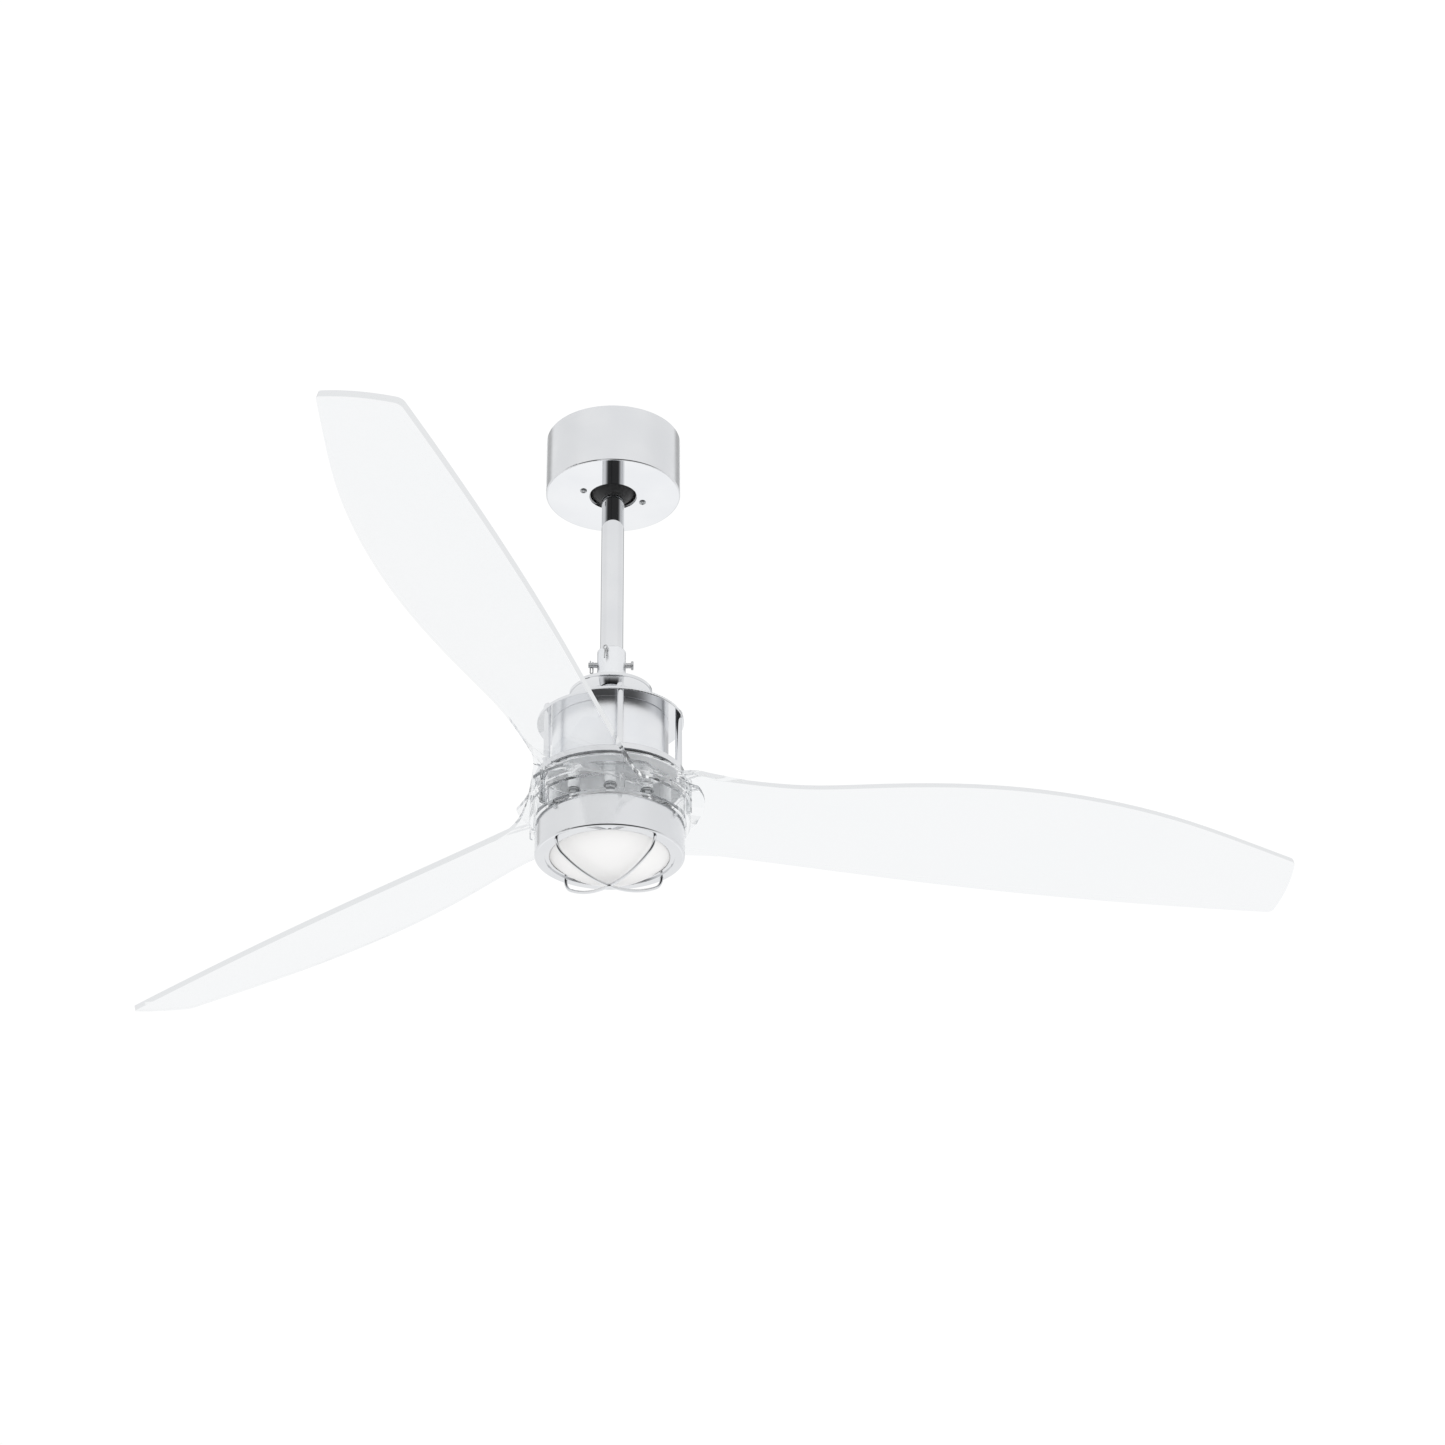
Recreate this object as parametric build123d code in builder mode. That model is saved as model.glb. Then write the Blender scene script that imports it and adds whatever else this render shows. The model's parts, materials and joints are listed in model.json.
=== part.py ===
from build123d import *
import os
from math import asin, atan, cos, degrees, radians, sin, sqrt

# Three-blade ceiling fan with a light, hung from a ball joint in a chrome canopy.
# Millimetres. +Z is up, the ceiling is the plane Z = 0, and blade 1 points along +X.

# --- Overall ------------------------------------------------------------------
SWEEP_R = 640.0  # blade tip radius: a 1.28 m sweep
BLADE_COUNT = 3
BLADE_STEP = 360.0 / BLADE_COUNT
FRONT = -104.1  # direction of the cage's front post line, degrees from +X
FIT = 0.05  # radial gap of a part seated on another

# --- Ceiling bracket and canopy -----------------------------------------------
PLATE_R = 52.0
PLATE_T = 2.0
SLOT_SPACING = 79.4  # slots reach both 70 mm and 89 mm box screws
SLOT_LENGTH = 15.0
SLOT_W = 5.0
WIRE_HOLE_R = 11.0
LEG_X = 36.0
LEG_T = 2.5
LEG_W = 48.0
SEAT_TOP = 54.4
SEAT_T = 2.5
SEAT_HOLE_R = 21.0
SEAT_ENTRY_W = 22.0
CANOPY_R = 61.3
CANOPY_H = 58.5
CANOPY_WALL = 1.2
CANOPY_BASE_T = 1.5
CANOPY_ROUND = 1.5
CANOPY_HOLE_R = 21.8
CANOPY_SCREW_R = 28.5
CANOPY_SCREW_ANGLE = 4.7
SCREW_SHANK_R = 1.9
SCREW_HEAD_R = 3.1
SCREW_HEAD_H = 1.7
SCREW_SLOT_W = 0.8
TERMINAL_R = 50.0
TERMINAL_SIZE = (11.0, 26.0, 12.0)
TERMINAL_PITCH = 8.0
TERMINAL_HOLE_R = 2.0
TERMINAL_HOLE_DEPTH = 7.0
RECEIVER_R = 49.5
RECEIVER_SIZE = (11.0, 34.0, 24.0)
CORNER_R = 2.0  # corners of the moulded modules

# --- Hanger ball, rod and coupling ---------------------------------------------
BALL_R = 26.0
BALL_Z = -38.4
BALL_TOP = 20.0  # flat top, above the ball's centre
ROD_R = 10.3
ROD_WALL = 1.5
ROD_TOP = -12.0
ROD_END = -243.0
BALL_PIN_R = 2.45
BALL_PIN_Z = -20.9
BALL_PIN_HALF = 15.5
COLLAR_R = 12.7
COLLAR_TOP = -222.5
COLLAR_END = -258.0
COLLAR_ROUND = 1.2
PIN_Z = -236.0
PIN_R = 2.4
PIN_ANGLE = FRONT + 90.0
PIN_HEAD_END = 19.5
PIN_HEAD_T = 2.2
PIN_HEAD_R = 4.0
PIN_TAIL = -20.5
CLIP_X = -17.6
CLIP_WIRE_R = 0.6
CLIP_BEND_R = 1.8
CLIP_LEG = 5.5
COTTER_ANGLE = FRONT - 20.0
COTTER_Z = -227.0
COTTER_WIRE_R = 0.8
COTTER_EYE_R = 1.7
COTTER_LEG = 9.5
COVER_R = 36.3
COVER_T = 1.4
COVER_DROP = 4.5
COVER_RIM = 2.6
COVER_EDGE_Z = COLLAR_END - COVER_DROP
NECK_R = 10.0

# --- Cage and motor -------------------------------------------------------------
SHAFT_R = 7.5
SHAFT_BORE_R = 5.0
SHAFT_TOP = -246.0
SHAFT_END = -406.0
SHAFT_HOLE_R = 2.5  # side hole for the motor's wires
TOP_PLATE_R = 64.0
TOP_PLATE_Z = -291.6
TOP_PLATE_T = 2.8
PLATE_ROUND = 0.7
POST_COUNT = 5
POST_R = 2.95
POST_CIRCLE_R = 60.0
POST_ANGLE = FRONT + 7.5
STUD_R = 1.5
STUD_LEN = 6.0
STUD_DEPTH = 4.0
TIP_GAP = 0.3  # past the end of a stud or screw in a blind hole
NUT_R = 4.0
NUT_H = 2.8
NUT_DOME_R = 3.4
NUT_DOME_H = 2.8
LOWER_RING_Z = -346.5
LOWER_RING_T = 6.0
LOWER_RING_R = 65.3
LOWER_RING_BORE_R = 53.0
HOUSING_R = 50.5
HOUSING_WALL = 1.4
HOUSING_END = -351.0
HOUSING_SCREW_R = 30.0
ROTOR_R = 46.0
ROTOR_WALL = 2.5
ROTOR_COVER_Z = -298.5
ROTOR_PLATE_T = 2.5
ROTOR_FLOOR_Z = -344.5
ROTOR_BOSS_R = 24.0
ROTOR_BORE_R = 11.0
BEARING_R = 17.5
BEARING_W = 11.0
BEARING_INNER_R = 10.0
BEARING_OUTER_BORE_R = 15.0
BEARING_SEAT_WALL = 3.0
BALL_BEARING_R = 2.4
BALL_BEARING_COUNT = 8
MAGNET_T = 3.2
MAGNET_Z = -312.5
MAGNET_H = 20.0
STATOR_R = 39.5
STATOR_Z = -315.0
STATOR_H = 14.0
TOOTH_COUNT = 12
TOOTH_W = 5.0
TOOTH_TIP_W = 15.0
TOOTH_TIP_T = 3.5
YOKE_R = 17.0
COIL_INNER_R = 22.0
COIL_OUTER_R = 34.5
COIL_W = 10.6
COIL_OVERHANG = 3.0

# --- Rotor plate and blades -----------------------------------------------------
ROTOR_DISC_R = 64.0
ROTOR_DISC_Z = -353.9
ROTOR_DISC_T = 2.9
DISC_SCREW_R = 17.5
DISC_SCREW_DEPTH = 4.5
HUB_R = 31.0
HUB_BORE_R = 12.0
HUB_H = 20.0
SLEEVE_R = 5.0
FLANGE_BORE_R = 41.0
BLADE_Z = -373.2  # height of the blade's mid plane on its own axis
BLADE_SLOPE = 0.317  # fall of the blade per unit of width
BLADE_PITCH = degrees(atan(BLADE_SLOPE))
BLADE_T = 5.0
TIP_CORNER = 6.0
ROOT_HALF_W = 44.0
WALL_R = 69.5
WALL_T = 3.5
WALL_TOP = -357.2
WALL_END = -394.6
FLANGE_T = 2.8
SEAM_ANGLE = -36.1
SEAM_GAP = 0.25
RIB_OUT = 74.5
RIB_T = 3.4
RIB_TOP = -360.0
RIB_CORNER = 3.5
SKIRT_R = 82.0
SKIRT_Z = -371.6
SKIRT_T = 3.2
WEB_NEAR_R = 72.0  # nearest point of the curved web between two blades
BLADE_SCREW_R = 48.0
BLADE_SCREW_COUNT = 9
BLADE_SCREW_ANGLE = FRONT
BLADE_SCREW_HEAD_R = 4.4
BLADE_SCREW_HEAD_H = 2.8
WASHER_R = 5.8
WASHER_T = 0.8
WEB_START = 22.0  # angle from a blade's axis where its web begins
WEB_BLEND_START = 30.0
WEB_THIN = 0.15

# --- Light ------------------------------------------------------------------------
BAND_R = 64.5
BAND_WALL = 1.5
BAND_TOP = -395.9
BAND_END = -424.0
BAND_ROUND = 2.0
LIP_T = 1.6
LIP_STEP_R = 55.8
LIP_STEP = 1.2
LIP_BORE_R = 52.0
LIP_OVERLAP = 0.7
LEDGE_R = 57.0
LEDGE_T = 2.4
LIGHT_PLATE_Z = -397.6
LIGHT_PLATE_T = 2.0
LIGHT_PLATE_R = 62.8
LIGHT_SPACER_R = 9.4
SHAFT_NUT_R = 12.5
SHAFT_NUT_H = 5.0
BAND_SCREW_R = 60.0
BAND_SCREW_HEAD_R = 2.6
BAND_SCREW_HEAD_H = 1.5
DRIVER_Y = 31.0
DRIVER_SIZE = (46.0, 22.0, 11.0)
BOARD_R = 48.0
BOARD_Z = -414.0
BOARD_T = 1.6
STANDOFF_R = 3.0
STANDOFF_CIRCLE_R = 44.0
CHIP = 3.5
CHIP_T = 0.8
CHIP_RINGS = ((18.0, 6), (37.0, 12))
CLIP_W = 9.0
CLIP_T = 1.5
GLASS_R = 51.2
GLASS_WALL = 2.4
GLASS_FLANGE_R = 55.5
GLASS_END = -445.0
GUARD_WIRE_R = 1.45
GUARD_FOOT_R = 59.0
GUARD_END = -453.0
GUARD_LEGS = 4
GUARD_ANGLE = FRONT + 40.0
GUARD_BEND_R = 14.0
GUARD_BEND = 60.0
GUARD_SHORT = 0.5  # degrees that each leg stops short of the axis, inside the boss
GUARD_BOSS_R = 2.8
GUARD_BOSS_EXTRA = 0.3
GUARD_NUT_R = 2.4
GUARD_NUT_H = 2.2
GUARD_FOOT_TOP = BAND_END + 4.0


def radial_plane(angle):
    """Vertical plane through the fan axis: local x is radial, local y is up."""
    a = radians(angle)
    return Plane(origin=(0, 0, 0), x_dir=(cos(a), sin(a), 0), z_dir=(sin(a), -cos(a), 0))


def polar_point(radius, angle):
    """Point in plan at this radius and angle."""
    return (radius * cos(radians(angle)), radius * sin(radians(angle)))


def cross_plane(angle, height, distance=0.0):
    """Plane whose normal points outwards at this angle; distance is from the fan axis."""
    a = radians(angle)
    place = (distance * cos(a), distance * sin(a), height)
    return Plane(origin=place, x_dir=(-sin(a), cos(a), 0), z_dir=(cos(a), sin(a), 0))


# === Ceiling mount ==================================================================

with BuildPart() as ceiling_bracket:
    with BuildSketch(Plane.XY):
        Circle(PLATE_R)
        Circle(WIRE_HOLE_R, mode=Mode.SUBTRACT)
        with GridLocations(0, SLOT_SPACING, 1, 2):
            SlotOverall(SLOT_LENGTH, SLOT_W, rotation=90, mode=Mode.SUBTRACT)
    extrude(amount=-PLATE_T)
    with BuildSketch(Plane.XY.offset(-PLATE_T)):
        with GridLocations(2 * LEG_X, 0, 2, 1):
            Rectangle(LEG_T, LEG_W)
    extrude(amount=-(SEAT_TOP - PLATE_T))
    with BuildSketch(Plane.XY.offset(-SEAT_TOP)):
        Rectangle(2 * LEG_X + LEG_T, LEG_W)
        Circle(SEAT_HOLE_R, mode=Mode.SUBTRACT)
        with Locations((0, LEG_W / 2)):
            Rectangle(SEAT_ENTRY_W, LEG_W, mode=Mode.SUBTRACT)
        with PolarLocations(CANOPY_SCREW_R, 2, start_angle=CANOPY_SCREW_ANGLE):
            Circle(SCREW_SHANK_R + FIT, mode=Mode.SUBTRACT)
    extrude(amount=-SEAT_T)
ceiling_bracket.part.label = "ceiling_bracket"
export_step(ceiling_bracket.part, "parts/ceiling_bracket.step")

with BuildPart() as canopy:
    with BuildSketch(Plane.XY):
        Circle(CANOPY_R)
    extrude(amount=-CANOPY_H)
    fillet(canopy.edges().group_by(Axis.Z)[0], radius=CANOPY_ROUND)
    with BuildSketch(Plane.XY):
        Circle(CANOPY_R - CANOPY_WALL)
    extrude(amount=-(CANOPY_H - CANOPY_BASE_T), mode=Mode.SUBTRACT)
    with BuildSketch(Plane.XY.offset(-CANOPY_H)):
        Circle(CANOPY_HOLE_R)
        with PolarLocations(CANOPY_SCREW_R, 2, start_angle=CANOPY_SCREW_ANGLE):
            Circle(SCREW_SHANK_R + FIT)
    extrude(amount=CANOPY_BASE_T, mode=Mode.SUBTRACT)
canopy.part.label = "canopy"
export_step(canopy.part, "parts/canopy.step")

with BuildPart() as canopy_screws:
    with BuildSketch(Plane.XY.offset(-CANOPY_H)):
        with PolarLocations(CANOPY_SCREW_R, 2, start_angle=CANOPY_SCREW_ANGLE):
            Circle(SCREW_HEAD_R)
    extrude(amount=-SCREW_HEAD_H)
    with BuildSketch(Plane.XY.offset(-CANOPY_H)):
        with PolarLocations(CANOPY_SCREW_R, 2, start_angle=CANOPY_SCREW_ANGLE):
            Circle(SCREW_SHANK_R)
    extrude(amount=CANOPY_H - SEAT_TOP + SEAT_T)
    with BuildSketch(Plane.XY.offset(-CANOPY_H - SCREW_HEAD_H)):
        with PolarLocations(CANOPY_SCREW_R, 2, start_angle=CANOPY_SCREW_ANGLE):
            Rectangle(2 * SCREW_HEAD_R, SCREW_SLOT_W)
            Rectangle(SCREW_SLOT_W, 2 * SCREW_HEAD_R)
        with PolarLocations(CANOPY_SCREW_R, 2, start_angle=CANOPY_SCREW_ANGLE):
            Circle(0.65 * SCREW_HEAD_R, mode=Mode.INTERSECT)
    extrude(amount=SCREW_HEAD_H / 2, mode=Mode.SUBTRACT)
canopy_screws.part.label = "canopy_screws"
export_step(canopy_screws.part, "parts/canopy_screws.step")

with BuildPart() as terminal_block:
    with BuildSketch(Plane.XY.offset(-PLATE_T)):
        with PolarLocations(TERMINAL_R, 1, start_angle=45):
            Rectangle(TERMINAL_SIZE[0], TERMINAL_SIZE[1])
    extrude(amount=-TERMINAL_SIZE[2])
    with BuildSketch(Plane.XY.offset(-PLATE_T - TERMINAL_SIZE[2])):
        with PolarLocations(TERMINAL_R, 1, start_angle=45):
            with GridLocations(0, TERMINAL_PITCH, 1, 3):
                Circle(TERMINAL_HOLE_R)
    extrude(amount=TERMINAL_HOLE_DEPTH, mode=Mode.SUBTRACT)
terminal_block.part.label = "terminal_block"
export_step(terminal_block.part, "parts/terminal_block.step")

with BuildPart() as receiver_module:
    with BuildSketch(Plane.XY.offset(-PLATE_T)):
        with PolarLocations(RECEIVER_R, 1, start_angle=-45):
            Rectangle(RECEIVER_SIZE[0], RECEIVER_SIZE[1])
        fillet(vertices(), radius=CORNER_R)
    extrude(amount=-RECEIVER_SIZE[2])
receiver_module.part.label = "receiver_module"
export_step(receiver_module.part, "parts/receiver_module.step")

# === Hanger: everything that swings on the ball but does not spin ===================

with BuildPart() as hanger_ball:
    with BuildSketch(Plane.XZ):
        with Locations((0, BALL_Z)):
            Circle(BALL_R)
        with Locations((ROD_R + FIT, BALL_Z - BALL_R)):
            Rectangle(BALL_R, BALL_R + BALL_TOP, align=(Align.MIN, Align.MIN), mode=Mode.INTERSECT)
    revolve(axis=Axis.Z)
    with BuildSketch(Plane.XY.offset(BALL_Z + BALL_TOP)):
        Rectangle(2 * BALL_R, 2 * (BALL_PIN_R + FIT))
    extrude(amount=-(BALL_Z + BALL_TOP - BALL_PIN_Z + BALL_PIN_R + FIT), mode=Mode.SUBTRACT)
hanger_ball.part.label = "hanger_ball"
export_step(hanger_ball.part, "parts/hanger_ball.step")

with BuildPart() as ball_pin:
    with BuildSketch(cross_plane(0, BALL_PIN_Z)):
        Circle(BALL_PIN_R)
    extrude(amount=BALL_PIN_HALF, both=True)
    chamfer(ball_pin.edges(), length=0.5)
ball_pin.part.label = "ball_pin"
export_step(ball_pin.part, "parts/ball_pin.step")

with BuildPart() as downrod:
    with BuildSketch(Plane.XY.offset(ROD_TOP)):
        Circle(ROD_R)
        Circle(ROD_R - ROD_WALL, mode=Mode.SUBTRACT)
    extrude(amount=ROD_END - ROD_TOP)
    with BuildSketch(cross_plane(0, BALL_PIN_Z)):
        Circle(BALL_PIN_R + FIT)
    extrude(amount=2 * ROD_R, both=True, mode=Mode.SUBTRACT)
    with BuildSketch(cross_plane(PIN_ANGLE, PIN_Z)):
        Circle(PIN_R + FIT)
    extrude(amount=2 * ROD_R, both=True, mode=Mode.SUBTRACT)
downrod.part.label = "downrod"
export_step(downrod.part, "parts/downrod.step")

with BuildPart() as coupling_collar:
    with BuildSketch(Plane.XY.offset(COLLAR_END)):
        Circle(COLLAR_R)
        Circle(SHAFT_R + FIT, mode=Mode.SUBTRACT)
    extrude(amount=COLLAR_TOP - COLLAR_END)
    with BuildSketch(Plane.XY.offset(COLLAR_TOP)):
        Circle(ROD_R + FIT)
    extrude(amount=ROD_END - COLLAR_TOP, mode=Mode.SUBTRACT)
    top_circles = coupling_collar.edges().filter_by(GeomType.CIRCLE).group_by(Axis.Z)[-1]
    fillet(top_circles.sort_by(SortBy.RADIUS)[-1], radius=COLLAR_ROUND)
    with BuildSketch(cross_plane(PIN_ANGLE, PIN_Z)):
        Circle(PIN_R + FIT)
    extrude(amount=2 * COLLAR_R, both=True, mode=Mode.SUBTRACT)
    with BuildSketch(cross_plane(COTTER_ANGLE, COTTER_Z)):
        Circle(COTTER_WIRE_R + FIT)
    extrude(amount=2 * COLLAR_R, mode=Mode.SUBTRACT)
coupling_collar.part.label = "coupling_collar"
export_step(coupling_collar.part, "parts/coupling_collar.step")

with BuildPart() as clevis_pin:
    with BuildSketch(cross_plane(PIN_ANGLE, PIN_Z, PIN_TAIL)):
        Circle(PIN_R)
    extrude(amount=PIN_HEAD_END - PIN_TAIL)
    with BuildSketch(cross_plane(PIN_ANGLE, PIN_Z, PIN_HEAD_END - PIN_HEAD_T)):
        Circle(PIN_HEAD_R)
    extrude(amount=PIN_HEAD_T)
    fillet(clevis_pin.edges().filter_by(GeomType.CIRCLE).sort_by(SortBy.RADIUS)[-2:], radius=0.6)
    with BuildSketch(Plane.XY.offset(PIN_Z - PIN_R)):
        with PolarLocations(-CLIP_X, 1, start_angle=PIN_ANGLE + 180):
            Circle(CLIP_WIRE_R + FIT)
    extrude(amount=2 * PIN_R, mode=Mode.SUBTRACT)
clevis_pin.part.label = "clevis_pin"
export_step(clevis_pin.part, "parts/clevis_pin.step")

with BuildPart() as pin_clip:
    with BuildLine(cross_plane(PIN_ANGLE, PIN_Z, CLIP_X)):
        through_leg = Line((0, CLIP_LEG), (0, -CLIP_LEG))
        bend = JernArc(start=through_leg @ 1, tangent=(0, -1), radius=CLIP_BEND_R, arc_size=180)
        Line(bend @ 1, (2 * CLIP_BEND_R, CLIP_LEG))
    with BuildSketch(Plane(origin=through_leg @ 0, z_dir=through_leg % 0)):
        Circle(CLIP_WIRE_R)
    sweep()
pin_clip.part.label = "pin_clip"
export_step(pin_clip.part, "parts/pin_clip.step")

with BuildPart() as split_pin:
    with BuildSketch(cross_plane(COTTER_ANGLE, COTTER_Z, ROD_R + 4 * FIT)):
        Circle(COTTER_WIRE_R)
    extrude(amount=COLLAR_R - ROD_R + COTTER_WIRE_R)
    with BuildSketch(cross_plane(COTTER_ANGLE, COTTER_Z + COTTER_EYE_R, COLLAR_R + COTTER_WIRE_R / 2)):
        Circle(COTTER_EYE_R + COTTER_WIRE_R)
        Circle(COTTER_EYE_R - COTTER_WIRE_R, mode=Mode.SUBTRACT)
    extrude(amount=2 * COTTER_WIRE_R)
    with BuildSketch(cross_plane(COTTER_ANGLE, COTTER_Z, COLLAR_R + COTTER_WIRE_R / 2)):
        with Locations((0, -COTTER_LEG / 2)):
            Rectangle(1.6 * COTTER_WIRE_R, COTTER_LEG)
    extrude(amount=1.2 * COTTER_WIRE_R)
split_pin.part.label = "split_pin"
export_step(split_pin.part, "parts/split_pin.step")

with BuildPart() as yoke_cover:
    with BuildSketch(Plane.XZ):
        with BuildLine():
            ThreePointArc(
                (SHAFT_R + 4 * FIT, COLLAR_END),
                (0.6 * COVER_R, COLLAR_END - 0.3 * COVER_DROP),
                (COVER_R, COVER_EDGE_Z),
            )
            Polyline(
                (COVER_R, COVER_EDGE_Z), (COVER_R, COVER_EDGE_Z - COVER_RIM),
                (COVER_R - COVER_T, COVER_EDGE_Z - COVER_RIM), (COVER_R - COVER_T, COVER_EDGE_Z - COVER_T),
            )
            ThreePointArc(
                (COVER_R - COVER_T, COVER_EDGE_Z - COVER_T),
                (0.6 * COVER_R, COLLAR_END - 0.3 * COVER_DROP - COVER_T),
                (SHAFT_R + 4 * FIT, COLLAR_END - COVER_T),
            )
            Line((SHAFT_R + 4 * FIT, COLLAR_END - COVER_T), (SHAFT_R + 4 * FIT, COLLAR_END))
        make_face()
    revolve(axis=Axis.Z)
yoke_cover.part.label = "yoke_cover"
export_step(yoke_cover.part, "parts/yoke_cover.step")

with BuildPart() as neck_spacer:
    with BuildSketch(Plane.XY.offset(TOP_PLATE_Z)):
        Circle(NECK_R)
        Circle(SHAFT_R + FIT, mode=Mode.SUBTRACT)
    extrude(amount=COLLAR_END - COVER_T - TOP_PLATE_Z - COVER_T / 2)
neck_spacer.part.label = "neck_spacer"
export_step(neck_spacer.part, "parts/neck_spacer.step")

with BuildPart() as hollow_shaft:
    with BuildSketch(Plane.XY.offset(SHAFT_END)):
        Circle(SHAFT_R)
        Circle(SHAFT_BORE_R, mode=Mode.SUBTRACT)
    extrude(amount=SHAFT_TOP - SHAFT_END)
    with BuildSketch(cross_plane(90, (TOP_PLATE_Z + STATOR_Z) / 2)):
        Circle(SHAFT_HOLE_R)
    extrude(amount=SHAFT_R, mode=Mode.SUBTRACT)
hollow_shaft.part.label = "hollow_shaft"
export_step(hollow_shaft.part, "parts/hollow_shaft.step")

# --- Cage -----------------------------------------------------------------------------

with BuildPart() as cage_top_plate:
    with BuildSketch(Plane.XY.offset(TOP_PLATE_Z)):
        Circle(TOP_PLATE_R)
        Circle(SHAFT_R + FIT, mode=Mode.SUBTRACT)
        with PolarLocations(POST_CIRCLE_R, POST_COUNT, start_angle=POST_ANGLE):
            Circle(STUD_R + FIT, mode=Mode.SUBTRACT)
        with PolarLocations(HOUSING_SCREW_R, 3):
            Circle(SCREW_SHANK_R + FIT, mode=Mode.SUBTRACT)
    extrude(amount=-TOP_PLATE_T)
    outer_circles = cage_top_plate.edges().filter_by(GeomType.CIRCLE).sort_by(SortBy.RADIUS)[-2:]
    fillet(outer_circles, radius=PLATE_ROUND)
cage_top_plate.part.label = "cage_top_plate"
export_step(cage_top_plate.part, "parts/cage_top_plate.step")

with BuildPart() as cage_posts:
    with BuildSketch(Plane.XY.offset(LOWER_RING_Z)):
        with PolarLocations(POST_CIRCLE_R, POST_COUNT, start_angle=POST_ANGLE):
            Circle(POST_R)
    extrude(amount=TOP_PLATE_Z - TOP_PLATE_T - LOWER_RING_Z)
    with BuildSketch(Plane.XY.offset(LOWER_RING_Z - STUD_DEPTH)):
        with PolarLocations(POST_CIRCLE_R, POST_COUNT, start_angle=POST_ANGLE):
            Circle(STUD_R)
    extrude(amount=TOP_PLATE_Z + STUD_LEN - TOP_PLATE_T - LOWER_RING_Z + STUD_DEPTH)
cage_posts.part.label = "cage_posts"
export_step(cage_posts.part, "parts/cage_posts.step")

with BuildPart() as cap_nuts:
    with BuildSketch(Plane.XY.offset(TOP_PLATE_Z)):
        with PolarLocations(POST_CIRCLE_R, POST_COUNT, start_angle=POST_ANGLE):
            RegularPolygon(NUT_R, 6)
    extrude(amount=NUT_H)
    with BuildSketch(Plane.XY.offset(TOP_PLATE_Z + NUT_H)):
        with PolarLocations(POST_CIRCLE_R, POST_COUNT, start_angle=POST_ANGLE):
            Circle(NUT_DOME_R)
    extrude(amount=NUT_DOME_H)
    fillet(cap_nuts.edges().group_by(Axis.Z)[-1], radius=0.85 * NUT_DOME_H)
    with BuildSketch(Plane.XY.offset(TOP_PLATE_Z)):
        with PolarLocations(POST_CIRCLE_R, POST_COUNT, start_angle=POST_ANGLE):
            Circle(STUD_R + FIT)
    extrude(amount=STUD_LEN - TOP_PLATE_T + TIP_GAP, mode=Mode.SUBTRACT)
cap_nuts.part.label = "cap_nuts"
export_step(cap_nuts.part, "parts/cap_nuts.step")

with BuildPart() as lower_ring:
    with BuildSketch(Plane.XY.offset(LOWER_RING_Z)):
        Circle(LOWER_RING_R)
        Circle(LOWER_RING_BORE_R, mode=Mode.SUBTRACT)
    extrude(amount=-LOWER_RING_T)
    chamfer(lower_ring.edges(), length=0.5)
    with BuildSketch(Plane.XY.offset(LOWER_RING_Z)):
        with PolarLocations(POST_CIRCLE_R, POST_COUNT, start_angle=POST_ANGLE):
            Circle(STUD_R + FIT)
    extrude(amount=-(STUD_DEPTH + TIP_GAP), mode=Mode.SUBTRACT)
lower_ring.part.label = "lower_ring"
export_step(lower_ring.part, "parts/lower_ring.step")

with BuildPart() as motor_housing:
    with BuildSketch(Plane.XY.offset(TOP_PLATE_Z - TOP_PLATE_T)):
        Circle(HOUSING_R)
    extrude(amount=HOUSING_END - TOP_PLATE_Z + TOP_PLATE_T)
    fillet(motor_housing.edges(), radius=0.6)
    with BuildSketch(Plane.XY.offset(HOUSING_END)):
        Circle(HOUSING_R - HOUSING_WALL)
    extrude(amount=TOP_PLATE_Z - TOP_PLATE_T - HOUSING_WALL - HOUSING_END, mode=Mode.SUBTRACT)
    with BuildSketch(Plane.XY.offset(TOP_PLATE_Z - TOP_PLATE_T)):
        Circle(SHAFT_R + FIT)
        with PolarLocations(HOUSING_SCREW_R, 3):
            Circle(SCREW_SHANK_R + FIT)
    extrude(amount=-HOUSING_WALL, mode=Mode.SUBTRACT)
motor_housing.part.label = "motor_housing"
export_step(motor_housing.part, "parts/motor_housing.step")

with BuildPart() as housing_screws:
    with BuildSketch(Plane.XY.offset(TOP_PLATE_Z)):
        with PolarLocations(HOUSING_SCREW_R, 3):
            Circle(SCREW_HEAD_R)
    extrude(amount=SCREW_HEAD_H)
    with BuildSketch(Plane.XY.offset(TOP_PLATE_Z)):
        with PolarLocations(HOUSING_SCREW_R, 3):
            Circle(SCREW_SHANK_R)
    extrude(amount=-(TOP_PLATE_T + HOUSING_WALL))
housing_screws.part.label = "housing_screws"
export_step(housing_screws.part, "parts/housing_screws.step")

# --- Stator ---------------------------------------------------------------------------

with BuildPart() as stator_core:
    with BuildSketch(Plane.XY.offset(STATOR_Z)):
        Circle(YOKE_R)
        with PolarLocations((YOKE_R + STATOR_R) / 2, TOOTH_COUNT):
            Rectangle(STATOR_R - YOKE_R + 4, TOOTH_W)
        with PolarLocations(STATOR_R - TOOTH_TIP_T / 2, TOOTH_COUNT):
            Rectangle(TOOTH_TIP_T + 1, TOOTH_TIP_W)
        Circle(STATOR_R, mode=Mode.INTERSECT)
        Circle(SHAFT_R + FIT, mode=Mode.SUBTRACT)
    extrude(amount=-STATOR_H)
stator_core.part.label = "stator_core"
export_step(stator_core.part, "parts/stator_core.step")

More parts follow.
